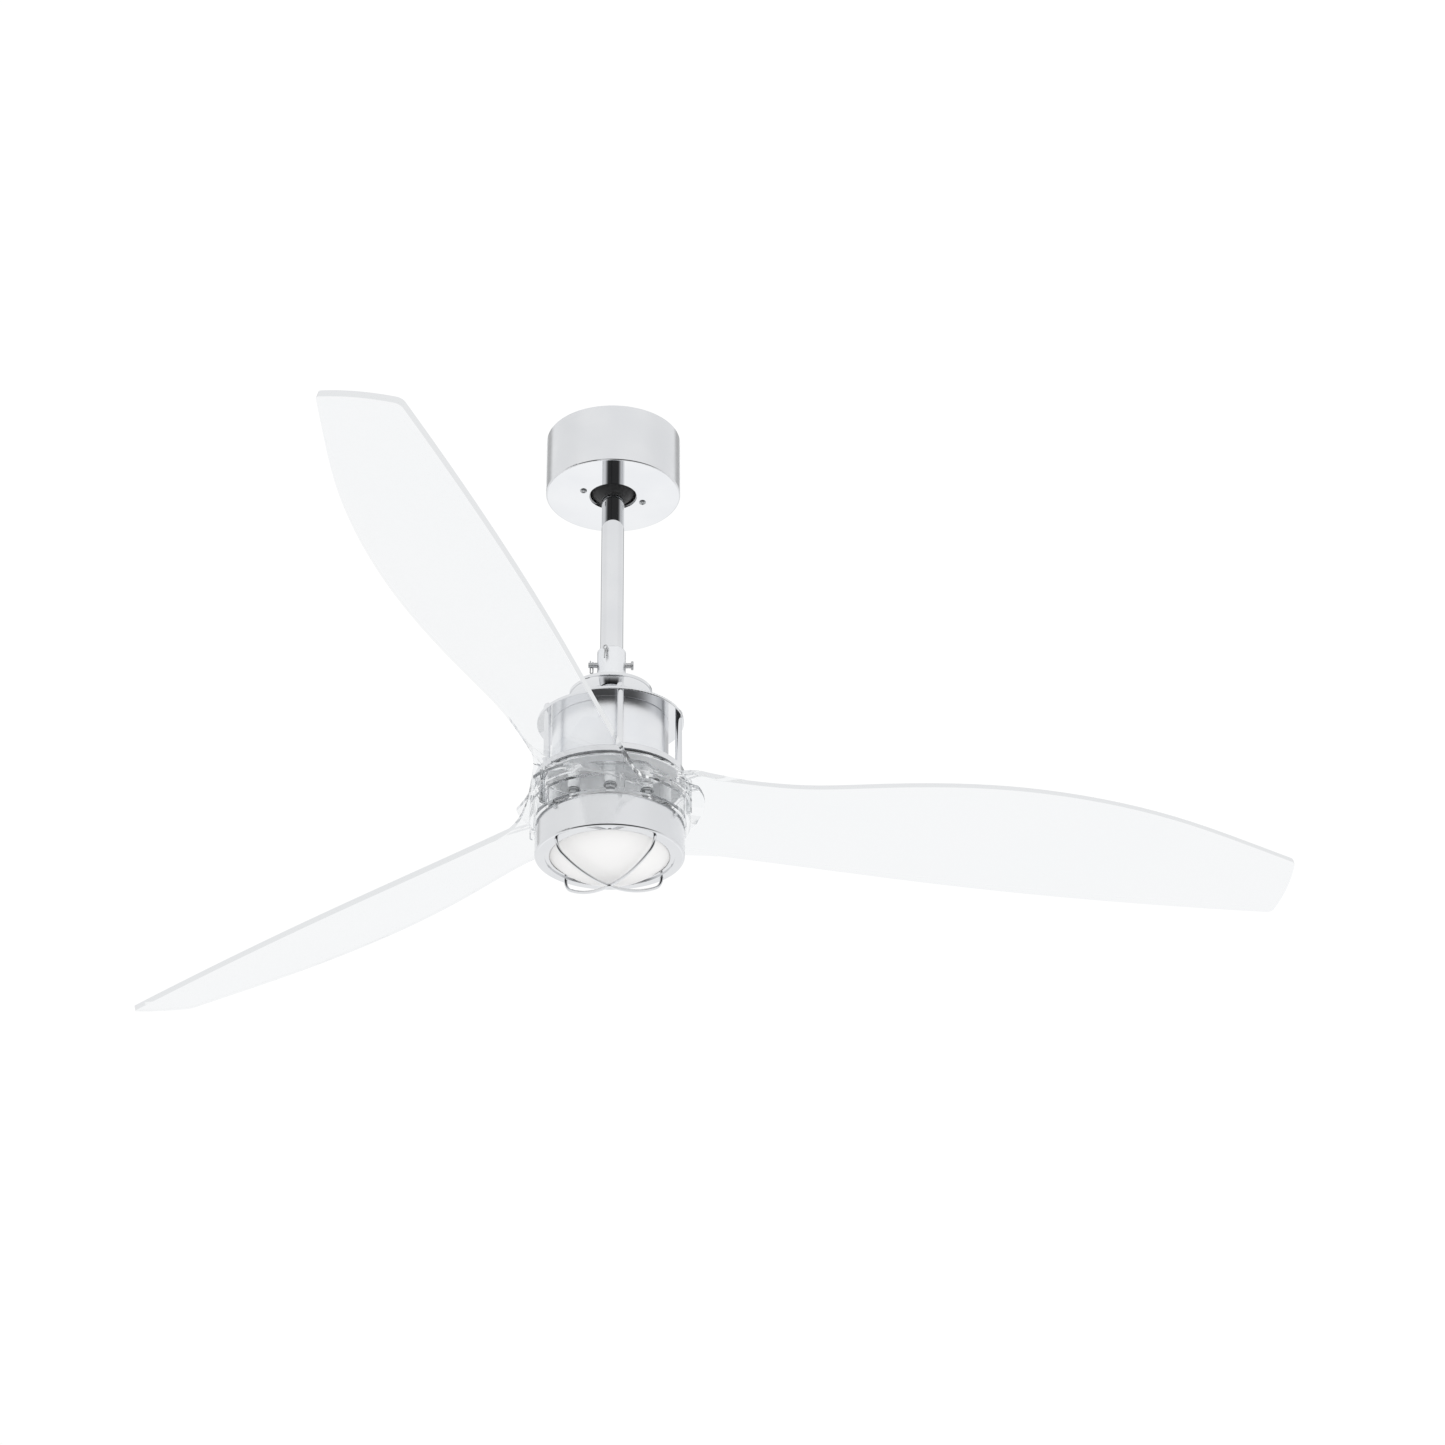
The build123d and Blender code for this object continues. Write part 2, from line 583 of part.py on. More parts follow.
with BuildPart() as stator_windings:
    with BuildSketch(Plane.XY.offset(STATOR_Z + COIL_OVERHANG)):
        with PolarLocations((COIL_INNER_R + COIL_OUTER_R) / 2, TOOTH_COUNT):
            Rectangle(COIL_OUTER_R - COIL_INNER_R, COIL_W)
    extrude(amount=-(STATOR_H + 2 * COIL_OVERHANG))
    fillet(stator_windings.edges().filter_by(Axis.Z), radius=1.5)
    with BuildSketch(Plane.XY.offset(STATOR_Z + FIT)):
        with PolarLocations((COIL_INNER_R + COIL_OUTER_R) / 2, TOOTH_COUNT):
            Rectangle(COIL_OUTER_R - COIL_INNER_R + 2, TOOTH_W + 2 * FIT)
    extrude(amount=-(STATOR_H + 2 * FIT), mode=Mode.SUBTRACT)
stator_windings.part.label = "stator_windings"
export_step(stator_windings.part, "parts/stator_windings.step")

# --- Bearings -------------------------------------------------------------------------

UPPER_BEARING_Z = ROTOR_COVER_Z - ROTOR_PLATE_T - BEARING_W
LOWER_BEARING_Z = ROTOR_FLOOR_Z
BEARING_FLOORS = (UPPER_BEARING_Z, LOWER_BEARING_Z)

with BuildPart() as bearing_inner_rings:
    for floor in BEARING_FLOORS:
        with BuildSketch(Plane.XY.offset(floor)):
            Circle(BEARING_INNER_R)
            Circle(SHAFT_R + FIT, mode=Mode.SUBTRACT)
        extrude(amount=BEARING_W)
bearing_inner_rings.part.label = "bearing_inner_rings"
export_step(bearing_inner_rings.part, "parts/bearing_inner_rings.step")

with BuildPart() as bearing_outer_rings:
    for floor in BEARING_FLOORS:
        with BuildSketch(Plane.XY.offset(floor)):
            Circle(BEARING_R)
            Circle(BEARING_OUTER_BORE_R, mode=Mode.SUBTRACT)
        extrude(amount=BEARING_W)
bearing_outer_rings.part.label = "bearing_outer_rings"
export_step(bearing_outer_rings.part, "parts/bearing_outer_rings.step")

with BuildPart() as bearing_balls:
    for floor in BEARING_FLOORS:
        with Locations(Plane.XY.offset(floor + BEARING_W / 2)):
            with PolarLocations((BEARING_INNER_R + BEARING_OUTER_BORE_R) / 2, BALL_BEARING_COUNT):
                Sphere(BALL_BEARING_R)
bearing_balls.part.label = "bearing_balls"
export_step(bearing_balls.part, "parts/bearing_balls.step")

# === Rotor: everything that spins =====================================================

with BuildPart() as rotor_shell:
    with BuildSketch(Plane.XY.offset(ROTOR_FLOOR_Z - ROTOR_PLATE_T)):
        Circle(ROTOR_R)
    extrude(amount=ROTOR_COVER_Z - ROTOR_FLOOR_Z)
    with BuildSketch(Plane.XY.offset(ROTOR_FLOOR_Z)):
        Circle(ROTOR_R - ROTOR_WALL)
    extrude(amount=ROTOR_COVER_Z - ROTOR_FLOOR_Z, mode=Mode.SUBTRACT)
    with BuildSketch(Plane.XY.offset(ROTOR_FLOOR_Z)):
        Circle(BEARING_R + BEARING_SEAT_WALL)
        Circle(BEARING_R + FIT, mode=Mode.SUBTRACT)
    extrude(amount=BEARING_W)
    with BuildSketch(Plane.XY.offset(ROTOR_FLOOR_Z - ROTOR_PLATE_T)):
        Circle(ROTOR_BOSS_R)
    extrude(amount=ROTOR_DISC_Z - ROTOR_FLOOR_Z + ROTOR_PLATE_T)
    with BuildSketch(Plane.XY.offset(ROTOR_DISC_Z)):
        Circle(ROTOR_BORE_R)
    extrude(amount=ROTOR_FLOOR_Z - ROTOR_DISC_Z, mode=Mode.SUBTRACT)
    with BuildSketch(Plane.XY.offset(ROTOR_DISC_Z)):
        with PolarLocations(DISC_SCREW_R, 4):
            Circle(SCREW_SHANK_R + FIT)
    extrude(amount=DISC_SCREW_DEPTH + TIP_GAP, mode=Mode.SUBTRACT)
rotor_shell.part.label = "rotor_shell"
export_step(rotor_shell.part, "parts/rotor_shell.step")

with BuildPart() as rotor_top_cover:
    with BuildSketch(Plane.XY.offset(ROTOR_COVER_Z)):
        Circle(ROTOR_R)
        Circle(ROTOR_BORE_R, mode=Mode.SUBTRACT)
    extrude(amount=-ROTOR_PLATE_T)
    with BuildSketch(Plane.XY.offset(ROTOR_COVER_Z - ROTOR_PLATE_T)):
        Circle(BEARING_R + BEARING_SEAT_WALL)
        Circle(BEARING_R + FIT, mode=Mode.SUBTRACT)
    extrude(amount=-BEARING_W)
rotor_top_cover.part.label = "rotor_top_cover"
export_step(rotor_top_cover.part, "parts/rotor_top_cover.step")

with BuildPart() as magnet_ring:
    with BuildSketch(Plane.XY.offset(MAGNET_Z)):
        Circle(ROTOR_R - ROTOR_WALL - FIT)
        Circle(ROTOR_R - ROTOR_WALL - FIT - MAGNET_T, mode=Mode.SUBTRACT)
    extrude(amount=-MAGNET_H)
magnet_ring.part.label = "magnet_ring"
export_step(magnet_ring.part, "parts/magnet_ring.step")

with BuildPart() as rotor_plate:
    with BuildSketch(Plane.XY.offset(ROTOR_DISC_Z)):
        Circle(ROTOR_DISC_R)
        Circle(ROTOR_BORE_R, mode=Mode.SUBTRACT)
        with PolarLocations(DISC_SCREW_R, 4):
            Circle(SCREW_SHANK_R + FIT, mode=Mode.SUBTRACT)
        with PolarLocations(BLADE_SCREW_R, BLADE_SCREW_COUNT, start_angle=BLADE_SCREW_ANGLE):
            Circle(SCREW_SHANK_R + FIT, mode=Mode.SUBTRACT)
    extrude(amount=-ROTOR_DISC_T)
    chamfer(rotor_plate.edges().filter_by(GeomType.CIRCLE).sort_by(SortBy.RADIUS)[-2:], length=0.4)
rotor_plate.part.label = "rotor_plate"
export_step(rotor_plate.part, "parts/rotor_plate.step")

DISC_UNDER = ROTOR_DISC_Z - ROTOR_DISC_T
HUB_UNDER = DISC_UNDER - HUB_H
FLANGE_UNDER = HUB_UNDER - FLANGE_T

with BuildPart() as plate_screws:
    with BuildSketch(Plane.XY.offset(HUB_UNDER)):
        with PolarLocations(DISC_SCREW_R, 4):
            Circle(SCREW_HEAD_R)
    extrude(amount=-SCREW_HEAD_H)
    with BuildSketch(Plane.XY.offset(HUB_UNDER)):
        with PolarLocations(DISC_SCREW_R, 4):
            Circle(SCREW_SHANK_R)
    extrude(amount=HUB_H + ROTOR_DISC_T + DISC_SCREW_DEPTH)
plate_screws.part.label = "plate_screws"
export_step(plate_screws.part, "parts/plate_screws.step")

with BuildPart() as blade_hub:
    with BuildSketch(Plane.XY.offset(DISC_UNDER)):
        Circle(HUB_R)
        Circle(HUB_BORE_R, mode=Mode.SUBTRACT)
        with PolarLocations(DISC_SCREW_R, 4):
            Circle(SCREW_SHANK_R + FIT, mode=Mode.SUBTRACT)
    extrude(amount=-HUB_H)
blade_hub.part.label = "blade_hub"
export_step(blade_hub.part, "parts/blade_hub.step")

with BuildPart() as blade_sleeves:
    with BuildSketch(Plane.XY.offset(DISC_UNDER)):
        with PolarLocations(BLADE_SCREW_R, BLADE_SCREW_COUNT, start_angle=BLADE_SCREW_ANGLE):
            Circle(SLEEVE_R)
            Circle(SCREW_SHANK_R + FIT, mode=Mode.SUBTRACT)
    extrude(amount=-HUB_H)
blade_sleeves.part.label = "blade_sleeves"
export_step(blade_sleeves.part, "parts/blade_sleeves.step")

with BuildPart() as blade_screws:
    with BuildSketch(Plane.XY.offset(FLANGE_UNDER)):
        with PolarLocations(BLADE_SCREW_R, BLADE_SCREW_COUNT, start_angle=BLADE_SCREW_ANGLE):
            Circle(WASHER_R)
    extrude(amount=-WASHER_T)
    with BuildSketch(Plane.XY.offset(FLANGE_UNDER - WASHER_T)):
        with PolarLocations(BLADE_SCREW_R, BLADE_SCREW_COUNT, start_angle=BLADE_SCREW_ANGLE):
            RegularPolygon(BLADE_SCREW_HEAD_R, 6)
    extrude(amount=-BLADE_SCREW_HEAD_H)
    with BuildSketch(Plane.XY.offset(FLANGE_UNDER)):
        with PolarLocations(BLADE_SCREW_R, BLADE_SCREW_COUNT, start_angle=BLADE_SCREW_ANGLE):
            Circle(SCREW_SHANK_R)
    extrude(amount=FLANGE_T + HUB_H + ROTOR_DISC_T)
blade_screws.part.label = "blade_screws"
export_step(blade_screws.part, "parts/blade_screws.step")

# --- Blades ---------------------------------------------------------------------------
# A flat clear panel at a constant pitch. Its root carries a third of the hub's wall and
# a curved web that runs on to the next blade, falling from one edge to the other.

WEB_ARC_R = (ROOT_HALF_W - WEB_NEAR_R * sin(radians(60))) / (sin(radians(60)) - 1)
WEB_ARC_CENTRE = WEB_NEAR_R + WEB_ARC_R


def web_outer_radius(angle):
    """Plan radius of the web's edge: an arc tangent to two neighbouring blades."""
    a = radians(angle - BLADE_STEP / 2)
    return WEB_ARC_CENTRE * cos(a) - sqrt(WEB_ARC_R**2 - (WEB_ARC_CENTRE * sin(a)) ** 2)


def web_height(radius, angle):
    """Height of the web's mid surface: it turns from this blade's plane to the next one's."""
    t = min(max((angle - WEB_BLEND_START) / (BLADE_STEP - 2 * WEB_BLEND_START), 0.0), 1.0)
    share = t * t * (3 - 2 * t)
    fall = (1 - share) * sin(radians(angle)) - share * sin(radians(BLADE_STEP - angle))
    return BLADE_Z - BLADE_SLOPE * radius * fall


def web_sections(angles, turn):
    """Radial sections of the web at these angles, turned about the fan axis."""
    half = BLADE_T / 2 / cos(radians(BLADE_PITCH)) - WEB_THIN
    inner = WALL_R - WALL_T / 2
    sections = []
    for angle in angles:
        outer = web_outer_radius(angle)
        low = web_height(inner, angle)
        high = web_height(outer, angle)
        with BuildSketch(radial_plane(angle + turn)) as section:
            Polygon(
                (inner, low - half), (outer, high - half), (outer, high + half), (inner, low + half),
                align=None,
            )
        sections.append(section.sketch)
    return sections


def build_blade(turn):
    """One blade with its third of the clear hub, turned about the fan axis."""
    pitched = Plane(
        origin=(0, 0, BLADE_Z),
        x_dir=(1, 0, 0),
        z_dir=(0, sin(radians(BLADE_PITCH)), cos(radians(BLADE_PITCH))),
    )
    widen = 1 / cos(radians(BLADE_PITCH))
    seam_start = SEAM_ANGLE + SEAM_GAP
    seam_end = SEAM_ANGLE + BLADE_STEP - SEAM_GAP
    with BuildPart() as blade:
        with BuildSketch(pitched):
            with BuildLine():
                high_edge = Spline(
                    (50, -ROOT_HALF_W * widen),
                    (110, -ROOT_HALF_W * widen),
                    (165, -47 * widen),
                    (220, -57.5 * widen),
                    (350, -75.6 * widen),
                    (480, -68.5 * widen),
                    (634, -32 * widen),
                    tangents=((1, 0), (0.9, 0.25)),
                )
                low_edge = Spline(
                    (50, ROOT_HALF_W * widen),
                    (110, ROOT_HALF_W * widen),
                    (320, 46.5 * widen),
                    (500, 41.5 * widen),
                    (638.8, 32 * widen),
                    tangents=((1, 0), (1, -0.09)),
                )
                ThreePointArc(high_edge @ 1, (SWEEP_R, 0), low_edge @ 1)
                Line(high_edge @ 0, low_edge @ 0)
            make_face()
            tip_corners = vertices().sort_by(Axis.X)[-2:]
            fillet(tip_corners, radius=TIP_CORNER)
        extrude(amount=BLADE_T / 2, both=True)
        with BuildSketch(Plane.XY.offset(BLADE_Z)):
            Circle(WALL_R - WALL_T / 2)
        extrude(amount=2 * ROOT_HALF_W, both=True, mode=Mode.SUBTRACT)
        with BuildSketch(Plane.XY.offset(BLADE_Z)):
            past_seam = [polar_point(SWEEP_R / 2, seam_start - turned) for turned in (0, 60)]
            Polygon((0, 0), *past_seam, align=None)
        extrude(amount=2 * ROOT_HALF_W, both=True, mode=Mode.SUBTRACT)
        loft(sections=web_sections([WEB_START, 35, 48, 60, 72, seam_end], 0))
        loft(sections=web_sections([seam_start + BLADE_STEP, 90, 98], -BLADE_STEP))
        with BuildSketch(radial_plane(seam_start)):
            Polygon(
                (FLANGE_BORE_R, FLANGE_UNDER), (WALL_R - WALL_T, FLANGE_UNDER),
                (WALL_R - WALL_T, WALL_END), (WALL_R, WALL_END),
                (WALL_R, WALL_TOP), (WALL_R - WALL_T, WALL_TOP),
                (WALL_R - WALL_T, HUB_UNDER), (FLANGE_BORE_R, HUB_UNDER),
                align=None,
            )
        revolve(axis=Axis.Z, revolution_arc=seam_end - seam_start)
        with BuildSketch(Plane.XY.offset(SKIRT_Z)):
            Circle(SKIRT_R)
            Circle(WALL_R - WALL_T / 2, mode=Mode.SUBTRACT)
            for side in (-BLADE_STEP / 2, BLADE_STEP / 2):
                with Locations(polar_point(WEB_ARC_CENTRE, side)):
                    Circle(WEB_ARC_R, mode=Mode.SUBTRACT)
            own_third = [polar_point(SWEEP_R, seam_start + turned) for turned in (0, 60)]
            own_third.append(polar_point(SWEEP_R, seam_end))
            Polygon((0, 0), *own_third, align=None, mode=Mode.INTERSECT)
        extrude(amount=-SKIRT_T)
        for angle, ahead, behind in (
            (seam_start, 0, RIB_T / 2),
            ((seam_start + seam_end) / 2, RIB_T / 2, RIB_T / 2),
            (seam_end, RIB_T / 2, 0),
        ):
            with BuildSketch(radial_plane(angle).offset(-behind)):
                with Locations((WALL_R - 1, WALL_END)):
                    Rectangle(
                        RIB_OUT - WALL_R + 1, RIB_TOP - WALL_END, align=(Align.MIN, Align.MIN)
                    )
                fillet(vertices().group_by(Axis.Y)[-1].sort_by(Axis.X)[-1], radius=RIB_CORNER)
            extrude(amount=ahead + behind)
        with BuildSketch(Plane.XY.offset(FLANGE_UNDER)):
            with PolarLocations(BLADE_SCREW_R, BLADE_SCREW_COUNT, start_angle=BLADE_SCREW_ANGLE):
                Circle(SCREW_SHANK_R + FIT)
        extrude(amount=FLANGE_T, mode=Mode.SUBTRACT)
    return blade.part.rotate(Axis.Z, turn)


blade_1 = build_blade(0)
blade_1.label = "blade_1"
export_step(blade_1, "parts/blade_1.step")

blade_2 = build_blade(BLADE_STEP)
blade_2.label = "blade_2"
export_step(blade_2, "parts/blade_2.step")

blade_3 = build_blade(2 * BLADE_STEP)
blade_3.label = "blade_3"
export_step(blade_3, "parts/blade_3.step")

# === Light ============================================================================

LIGHT_PLATE_UNDER = LIGHT_PLATE_Z - LIGHT_PLATE_T

with BuildPart() as light_spacer:
    with BuildSketch(Plane.XY.offset(LIGHT_PLATE_Z)):
        Circle(LIGHT_SPACER_R)
        Circle(SHAFT_R + FIT, mode=Mode.SUBTRACT)
    extrude(amount=LOWER_BEARING_Z - LIGHT_PLATE_Z)
light_spacer.part.label = "light_spacer"
export_step(light_spacer.part, "parts/light_spacer.step")

with BuildPart() as light_plate:
    with BuildSketch(Plane.XY.offset(LIGHT_PLATE_Z)):
        Circle(LIGHT_PLATE_R)
        Circle(SHAFT_R + FIT, mode=Mode.SUBTRACT)
        with PolarLocations(BAND_SCREW_R, 3):
            Circle(STUD_R + FIT, mode=Mode.SUBTRACT)
    extrude(amount=-LIGHT_PLATE_T)
light_plate.part.label = "light_plate"
export_step(light_plate.part, "parts/light_plate.step")

with BuildPart() as shaft_nut:
    with BuildSketch(Plane.XY.offset(LIGHT_PLATE_UNDER)):
        RegularPolygon(SHAFT_NUT_R, 6)
        Circle(SHAFT_R + FIT, mode=Mode.SUBTRACT)
    extrude(amount=-SHAFT_NUT_H)
shaft_nut.part.label = "shaft_nut"
export_step(shaft_nut.part, "parts/shaft_nut.step")

with BuildPart() as light_band:
    with BuildSketch(Plane.XY.offset(BAND_TOP)):
        Circle(BAND_R)
    extrude(amount=BAND_END - LIP_T - BAND_TOP)
    fillet(light_band.edges().group_by(Axis.Z)[0], radius=BAND_ROUND)
    with BuildSketch(Plane.XY.offset(BAND_TOP)):
        Circle(BAND_R - BAND_WALL)
    extrude(amount=BAND_END - BAND_TOP, mode=Mode.SUBTRACT)
    with BuildSketch(Plane.XY.offset(BAND_END - LIP_T)):
        Circle(LIP_STEP_R)
    extrude(amount=LIP_T, mode=Mode.SUBTRACT)
    with BuildSketch(Plane.XY.offset(BAND_END + LIP_STEP)):
        Circle(LIP_STEP_R + LIP_OVERLAP)
        Circle(LIP_BORE_R, mode=Mode.SUBTRACT)
    extrude(amount=-LIP_T)
    with BuildSketch(Plane.XY.offset(LIGHT_PLATE_UNDER)):
        Circle(BAND_R - BAND_WALL / 2)
        Circle(LEDGE_R, mode=Mode.SUBTRACT)
    extrude(amount=-LEDGE_T)
    with BuildSketch(Plane.XY.offset(BAND_END - LIP_T)):
        with PolarLocations(GUARD_FOOT_R, GUARD_LEGS, start_angle=GUARD_ANGLE):
            Circle(GUARD_WIRE_R + 2 * FIT)
    extrude(amount=LIP_T + LIP_STEP, mode=Mode.SUBTRACT)
    with BuildSketch(Plane.XY.offset(LIGHT_PLATE_UNDER)):
        with PolarLocations(BAND_SCREW_R, 3):
            Circle(STUD_R + FIT)
    extrude(amount=-LEDGE_T, mode=Mode.SUBTRACT)
light_band.part.label = "light_band"
export_step(light_band.part, "parts/light_band.step")

with BuildPart() as band_screws:
    with BuildSketch(Plane.XY.offset(LIGHT_PLATE_Z)):
        with PolarLocations(BAND_SCREW_R, 3):
            Circle(BAND_SCREW_HEAD_R)
    extrude(amount=BAND_SCREW_HEAD_H)
    with BuildSketch(Plane.XY.offset(LIGHT_PLATE_Z)):
        with PolarLocations(BAND_SCREW_R, 3):
            Circle(STUD_R)
    extrude(amount=-(LIGHT_PLATE_T + LEDGE_T))
band_screws.part.label = "band_screws"
export_step(band_screws.part, "parts/band_screws.step")

with BuildPart() as led_driver:
    with BuildSketch(Plane.XY.offset(LIGHT_PLATE_UNDER)):
        with Locations((0, DRIVER_Y)):
            Rectangle(DRIVER_SIZE[0], DRIVER_SIZE[1])
        fillet(vertices(), radius=CORNER_R)
    extrude(amount=-DRIVER_SIZE[2])
led_driver.part.label = "led_driver"
export_step(led_driver.part, "parts/led_driver.step")

with BuildPart() as board_standoffs:
    with BuildSketch(Plane.XY.offset(LIGHT_PLATE_UNDER)):
        with PolarLocations(STANDOFF_CIRCLE_R, 3, start_angle=30):
            Circle(STANDOFF_R)
    extrude(amount=BOARD_Z - LIGHT_PLATE_UNDER)
board_standoffs.part.label = "board_standoffs"
export_step(board_standoffs.part, "parts/board_standoffs.step")

with BuildPart() as led_board:
    with BuildSketch(Plane.XY.offset(BOARD_Z)):
        Circle(BOARD_R)
    extrude(amount=-BOARD_T)
led_board.part.label = "led_board"
export_step(led_board.part, "parts/led_board.step")

with BuildPart() as led_chips:
    for circle_radius, count in CHIP_RINGS:
        with BuildSketch(Plane.XY.offset(BOARD_Z - BOARD_T)):
            with PolarLocations(circle_radius, count):
                Rectangle(CHIP, CHIP)
        extrude(amount=-CHIP_T)
led_chips.part.label = "led_chips"
export_step(led_chips.part, "parts/led_chips.step")

GLASS_RISE = BAND_END - GLASS_END
GLASS_SPHERE_R = (GLASS_R**2 + GLASS_RISE**2) / (2 * GLASS_RISE)
GLASS_INNER_R = GLASS_R - GLASS_WALL
GLASS_CENTRE_Z = GLASS_END + GLASS_SPHERE_R
FLANGE_FLOOR = BAND_END + LIP_STEP
FLANGE_TOP = FLANGE_FLOOR + GLASS_WALL

with BuildPart() as glass_dome:
    half_angle = asin(GLASS_R / GLASS_SPHERE_R)
    inner_sphere_r = GLASS_SPHERE_R - GLASS_WALL
    inner_rim_z = GLASS_CENTRE_Z - sqrt(inner_sphere_r**2 - GLASS_INNER_R**2)
    with BuildSketch(Plane.XZ):
        with BuildLine():
            outer = ThreePointArc(
                (0, GLASS_END),
                (
                    GLASS_SPHERE_R * sin(half_angle / 2),
                    GLASS_CENTRE_Z - GLASS_SPHERE_R * cos(half_angle / 2),
                ),
                (GLASS_R, BAND_END),
            )
            rim = Polyline(
                outer @ 1, (GLASS_R, FLANGE_FLOOR), (GLASS_FLANGE_R, FLANGE_FLOOR),
                (GLASS_FLANGE_R, FLANGE_TOP), (GLASS_INNER_R, FLANGE_TOP), (GLASS_INNER_R, inner_rim_z),
            )
            inner_mid = asin(GLASS_INNER_R / inner_sphere_r) / 2
            inner = ThreePointArc(
                rim @ 1,
                (inner_sphere_r * sin(inner_mid), GLASS_CENTRE_Z - inner_sphere_r * cos(inner_mid)),
                (0, GLASS_END + GLASS_WALL),
            )
            Line(inner @ 1, outer @ 0)
        make_face()
    revolve(axis=Axis.Z)
glass_dome.part.label = "glass_dome"
export_step(glass_dome.part, "parts/glass_dome.step")

with BuildPart() as glass_clips:
    with BuildSketch(Plane.XY.offset(FLANGE_TOP)):
        with PolarLocations((GLASS_R + BAND_R - BAND_WALL) / 2, 3, start_angle=10):
            Rectangle(BAND_R - BAND_WALL - GLASS_R - 2 * FIT, CLIP_W)
        Circle(BAND_R - BAND_WALL - FIT, mode=Mode.INTERSECT)
    extrude(amount=CLIP_T)
glass_clips.part.label = "glass_clips"
export_step(glass_clips.part, "parts/glass_clips.step")

bend_angle = radians(GUARD_BEND)
GUARD_SPAN_R = (GUARD_FOOT_R - GUARD_BEND_R * (1 - cos(bend_angle))) / cos(bend_angle)
GUARD_DEPTH = GUARD_BEND_R * sin(bend_angle) + GUARD_SPAN_R * (1 - sin(bend_angle))
GUARD_AXIS_Z = GUARD_END + GUARD_WIRE_R + GUARD_BOSS_EXTRA / 2
GUARD_BEND_Z = GUARD_AXIS_Z + GUARD_DEPTH

with BuildPart() as guard_leg:
    with BuildLine(Plane.XZ):
        foot = Line((GUARD_FOOT_R, GUARD_FOOT_TOP), (GUARD_FOOT_R, GUARD_BEND_Z))
        knee = JernArc(
            start=foot @ 1, tangent=(0, -1), radius=GUARD_BEND_R, arc_size=-GUARD_BEND
        )
        JernArc(
            start=knee @ 1,
            tangent=(-sin(bend_angle), -cos(bend_angle)),
            radius=GUARD_SPAN_R,
            arc_size=GUARD_BEND - 90 + GUARD_SHORT,
        )
    with BuildSketch(Plane(origin=foot @ 0, z_dir=foot % 0)):
        Circle(GUARD_WIRE_R)
    sweep()

with BuildPart() as wire_guard:
    with BuildSketch(Plane.XY.offset(GUARD_END)):
        Circle(GUARD_BOSS_R)
    extrude(amount=2 * GUARD_WIRE_R + GUARD_BOSS_EXTRA)
    with PolarLocations(0, GUARD_LEGS, start_angle=GUARD_ANGLE):
        add(guard_leg.part)
wire_guard.part.label = "wire_guard"
export_step(wire_guard.part, "parts/wire_guard.step")

with BuildPart() as guard_nuts:
    with BuildSketch(Plane.XY.offset(BAND_END + FIT)):
        with PolarLocations(GUARD_FOOT_R, GUARD_LEGS, start_angle=GUARD_ANGLE):
            RegularPolygon(GUARD_NUT_R, 6)
            Circle(GUARD_WIRE_R + FIT, mode=Mode.SUBTRACT)
    extrude(amount=GUARD_NUT_H)
guard_nuts.part.label = "guard_nuts"
export_step(guard_nuts.part, "parts/guard_nuts.step")
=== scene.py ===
import json
import math
import random

import bmesh
import bpy
from mathutils import Matrix, Vector


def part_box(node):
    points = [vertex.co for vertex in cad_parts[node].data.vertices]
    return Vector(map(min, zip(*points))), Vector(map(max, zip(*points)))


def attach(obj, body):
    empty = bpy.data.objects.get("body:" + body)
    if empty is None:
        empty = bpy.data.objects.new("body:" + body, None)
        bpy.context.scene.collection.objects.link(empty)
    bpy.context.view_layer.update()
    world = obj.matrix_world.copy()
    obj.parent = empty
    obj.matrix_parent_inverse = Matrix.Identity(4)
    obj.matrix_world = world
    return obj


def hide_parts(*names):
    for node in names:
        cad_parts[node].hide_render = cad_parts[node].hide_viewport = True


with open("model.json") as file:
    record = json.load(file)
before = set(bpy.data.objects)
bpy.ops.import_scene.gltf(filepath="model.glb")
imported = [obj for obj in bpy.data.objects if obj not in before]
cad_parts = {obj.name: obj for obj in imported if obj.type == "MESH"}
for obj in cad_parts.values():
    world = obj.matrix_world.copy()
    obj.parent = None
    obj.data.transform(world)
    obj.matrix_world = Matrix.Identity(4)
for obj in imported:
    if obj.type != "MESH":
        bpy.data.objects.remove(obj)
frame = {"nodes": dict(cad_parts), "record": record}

# A chrome ceiling fan with three clear blades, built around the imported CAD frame.
# Metres, +Z up, the ceiling at Z = 0 and blade 1 along +X.

random.seed(7)
scene = bpy.context.scene
nodes = frame["nodes"]
body_of = {name: body for body, names in frame["record"]["behaviour"]["bodies"].items() for name in names}
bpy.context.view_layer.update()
MM = 0.001

# ================================================================ camera and studio

CAMERA_TURN = math.radians(-14.1)  # from the viewer's right-hand axis to blade 1
CAMERA_AWAY = 2.3172
CAMERA_DOWN = 1.5447
CAMERA_TILT = math.radians(28.37)
CAMERA_YAW = math.radians(2.42)
CAMERA_ROLL = math.radians(-0.60)
CAMERA_LENS = 74.74
CAMERA_SENSOR = 36
CAMERA_REACH = 50
LAMP_AIM = (0, 0, -0.3)
FLOOR_Z = -2.6
FLOOR_SIZE = 60
ROOM_LEVEL = 0.96  # what the chrome and the satin metal meet on all sides but the dark ones
ROOM_DARKNESS = 0.92  # how far the room behind and below the viewer falls below that
BOUNCE_LEVEL = 0.22  # what the bright floor on the far side adds
CLEAR_LEVEL = 0.95  # what light that has been in the clear plastic meets
SEEN_LEVEL = 1.02  # what the camera sees behind the fan
SIDE_DARKNESS = 0.05  # share of the light missing far out at both sides
STRIP_DARKNESS = 0.50  # share of it missing in the dark strips
STUDIO_TINT = (0.985, 0.992, 1.0, 1)

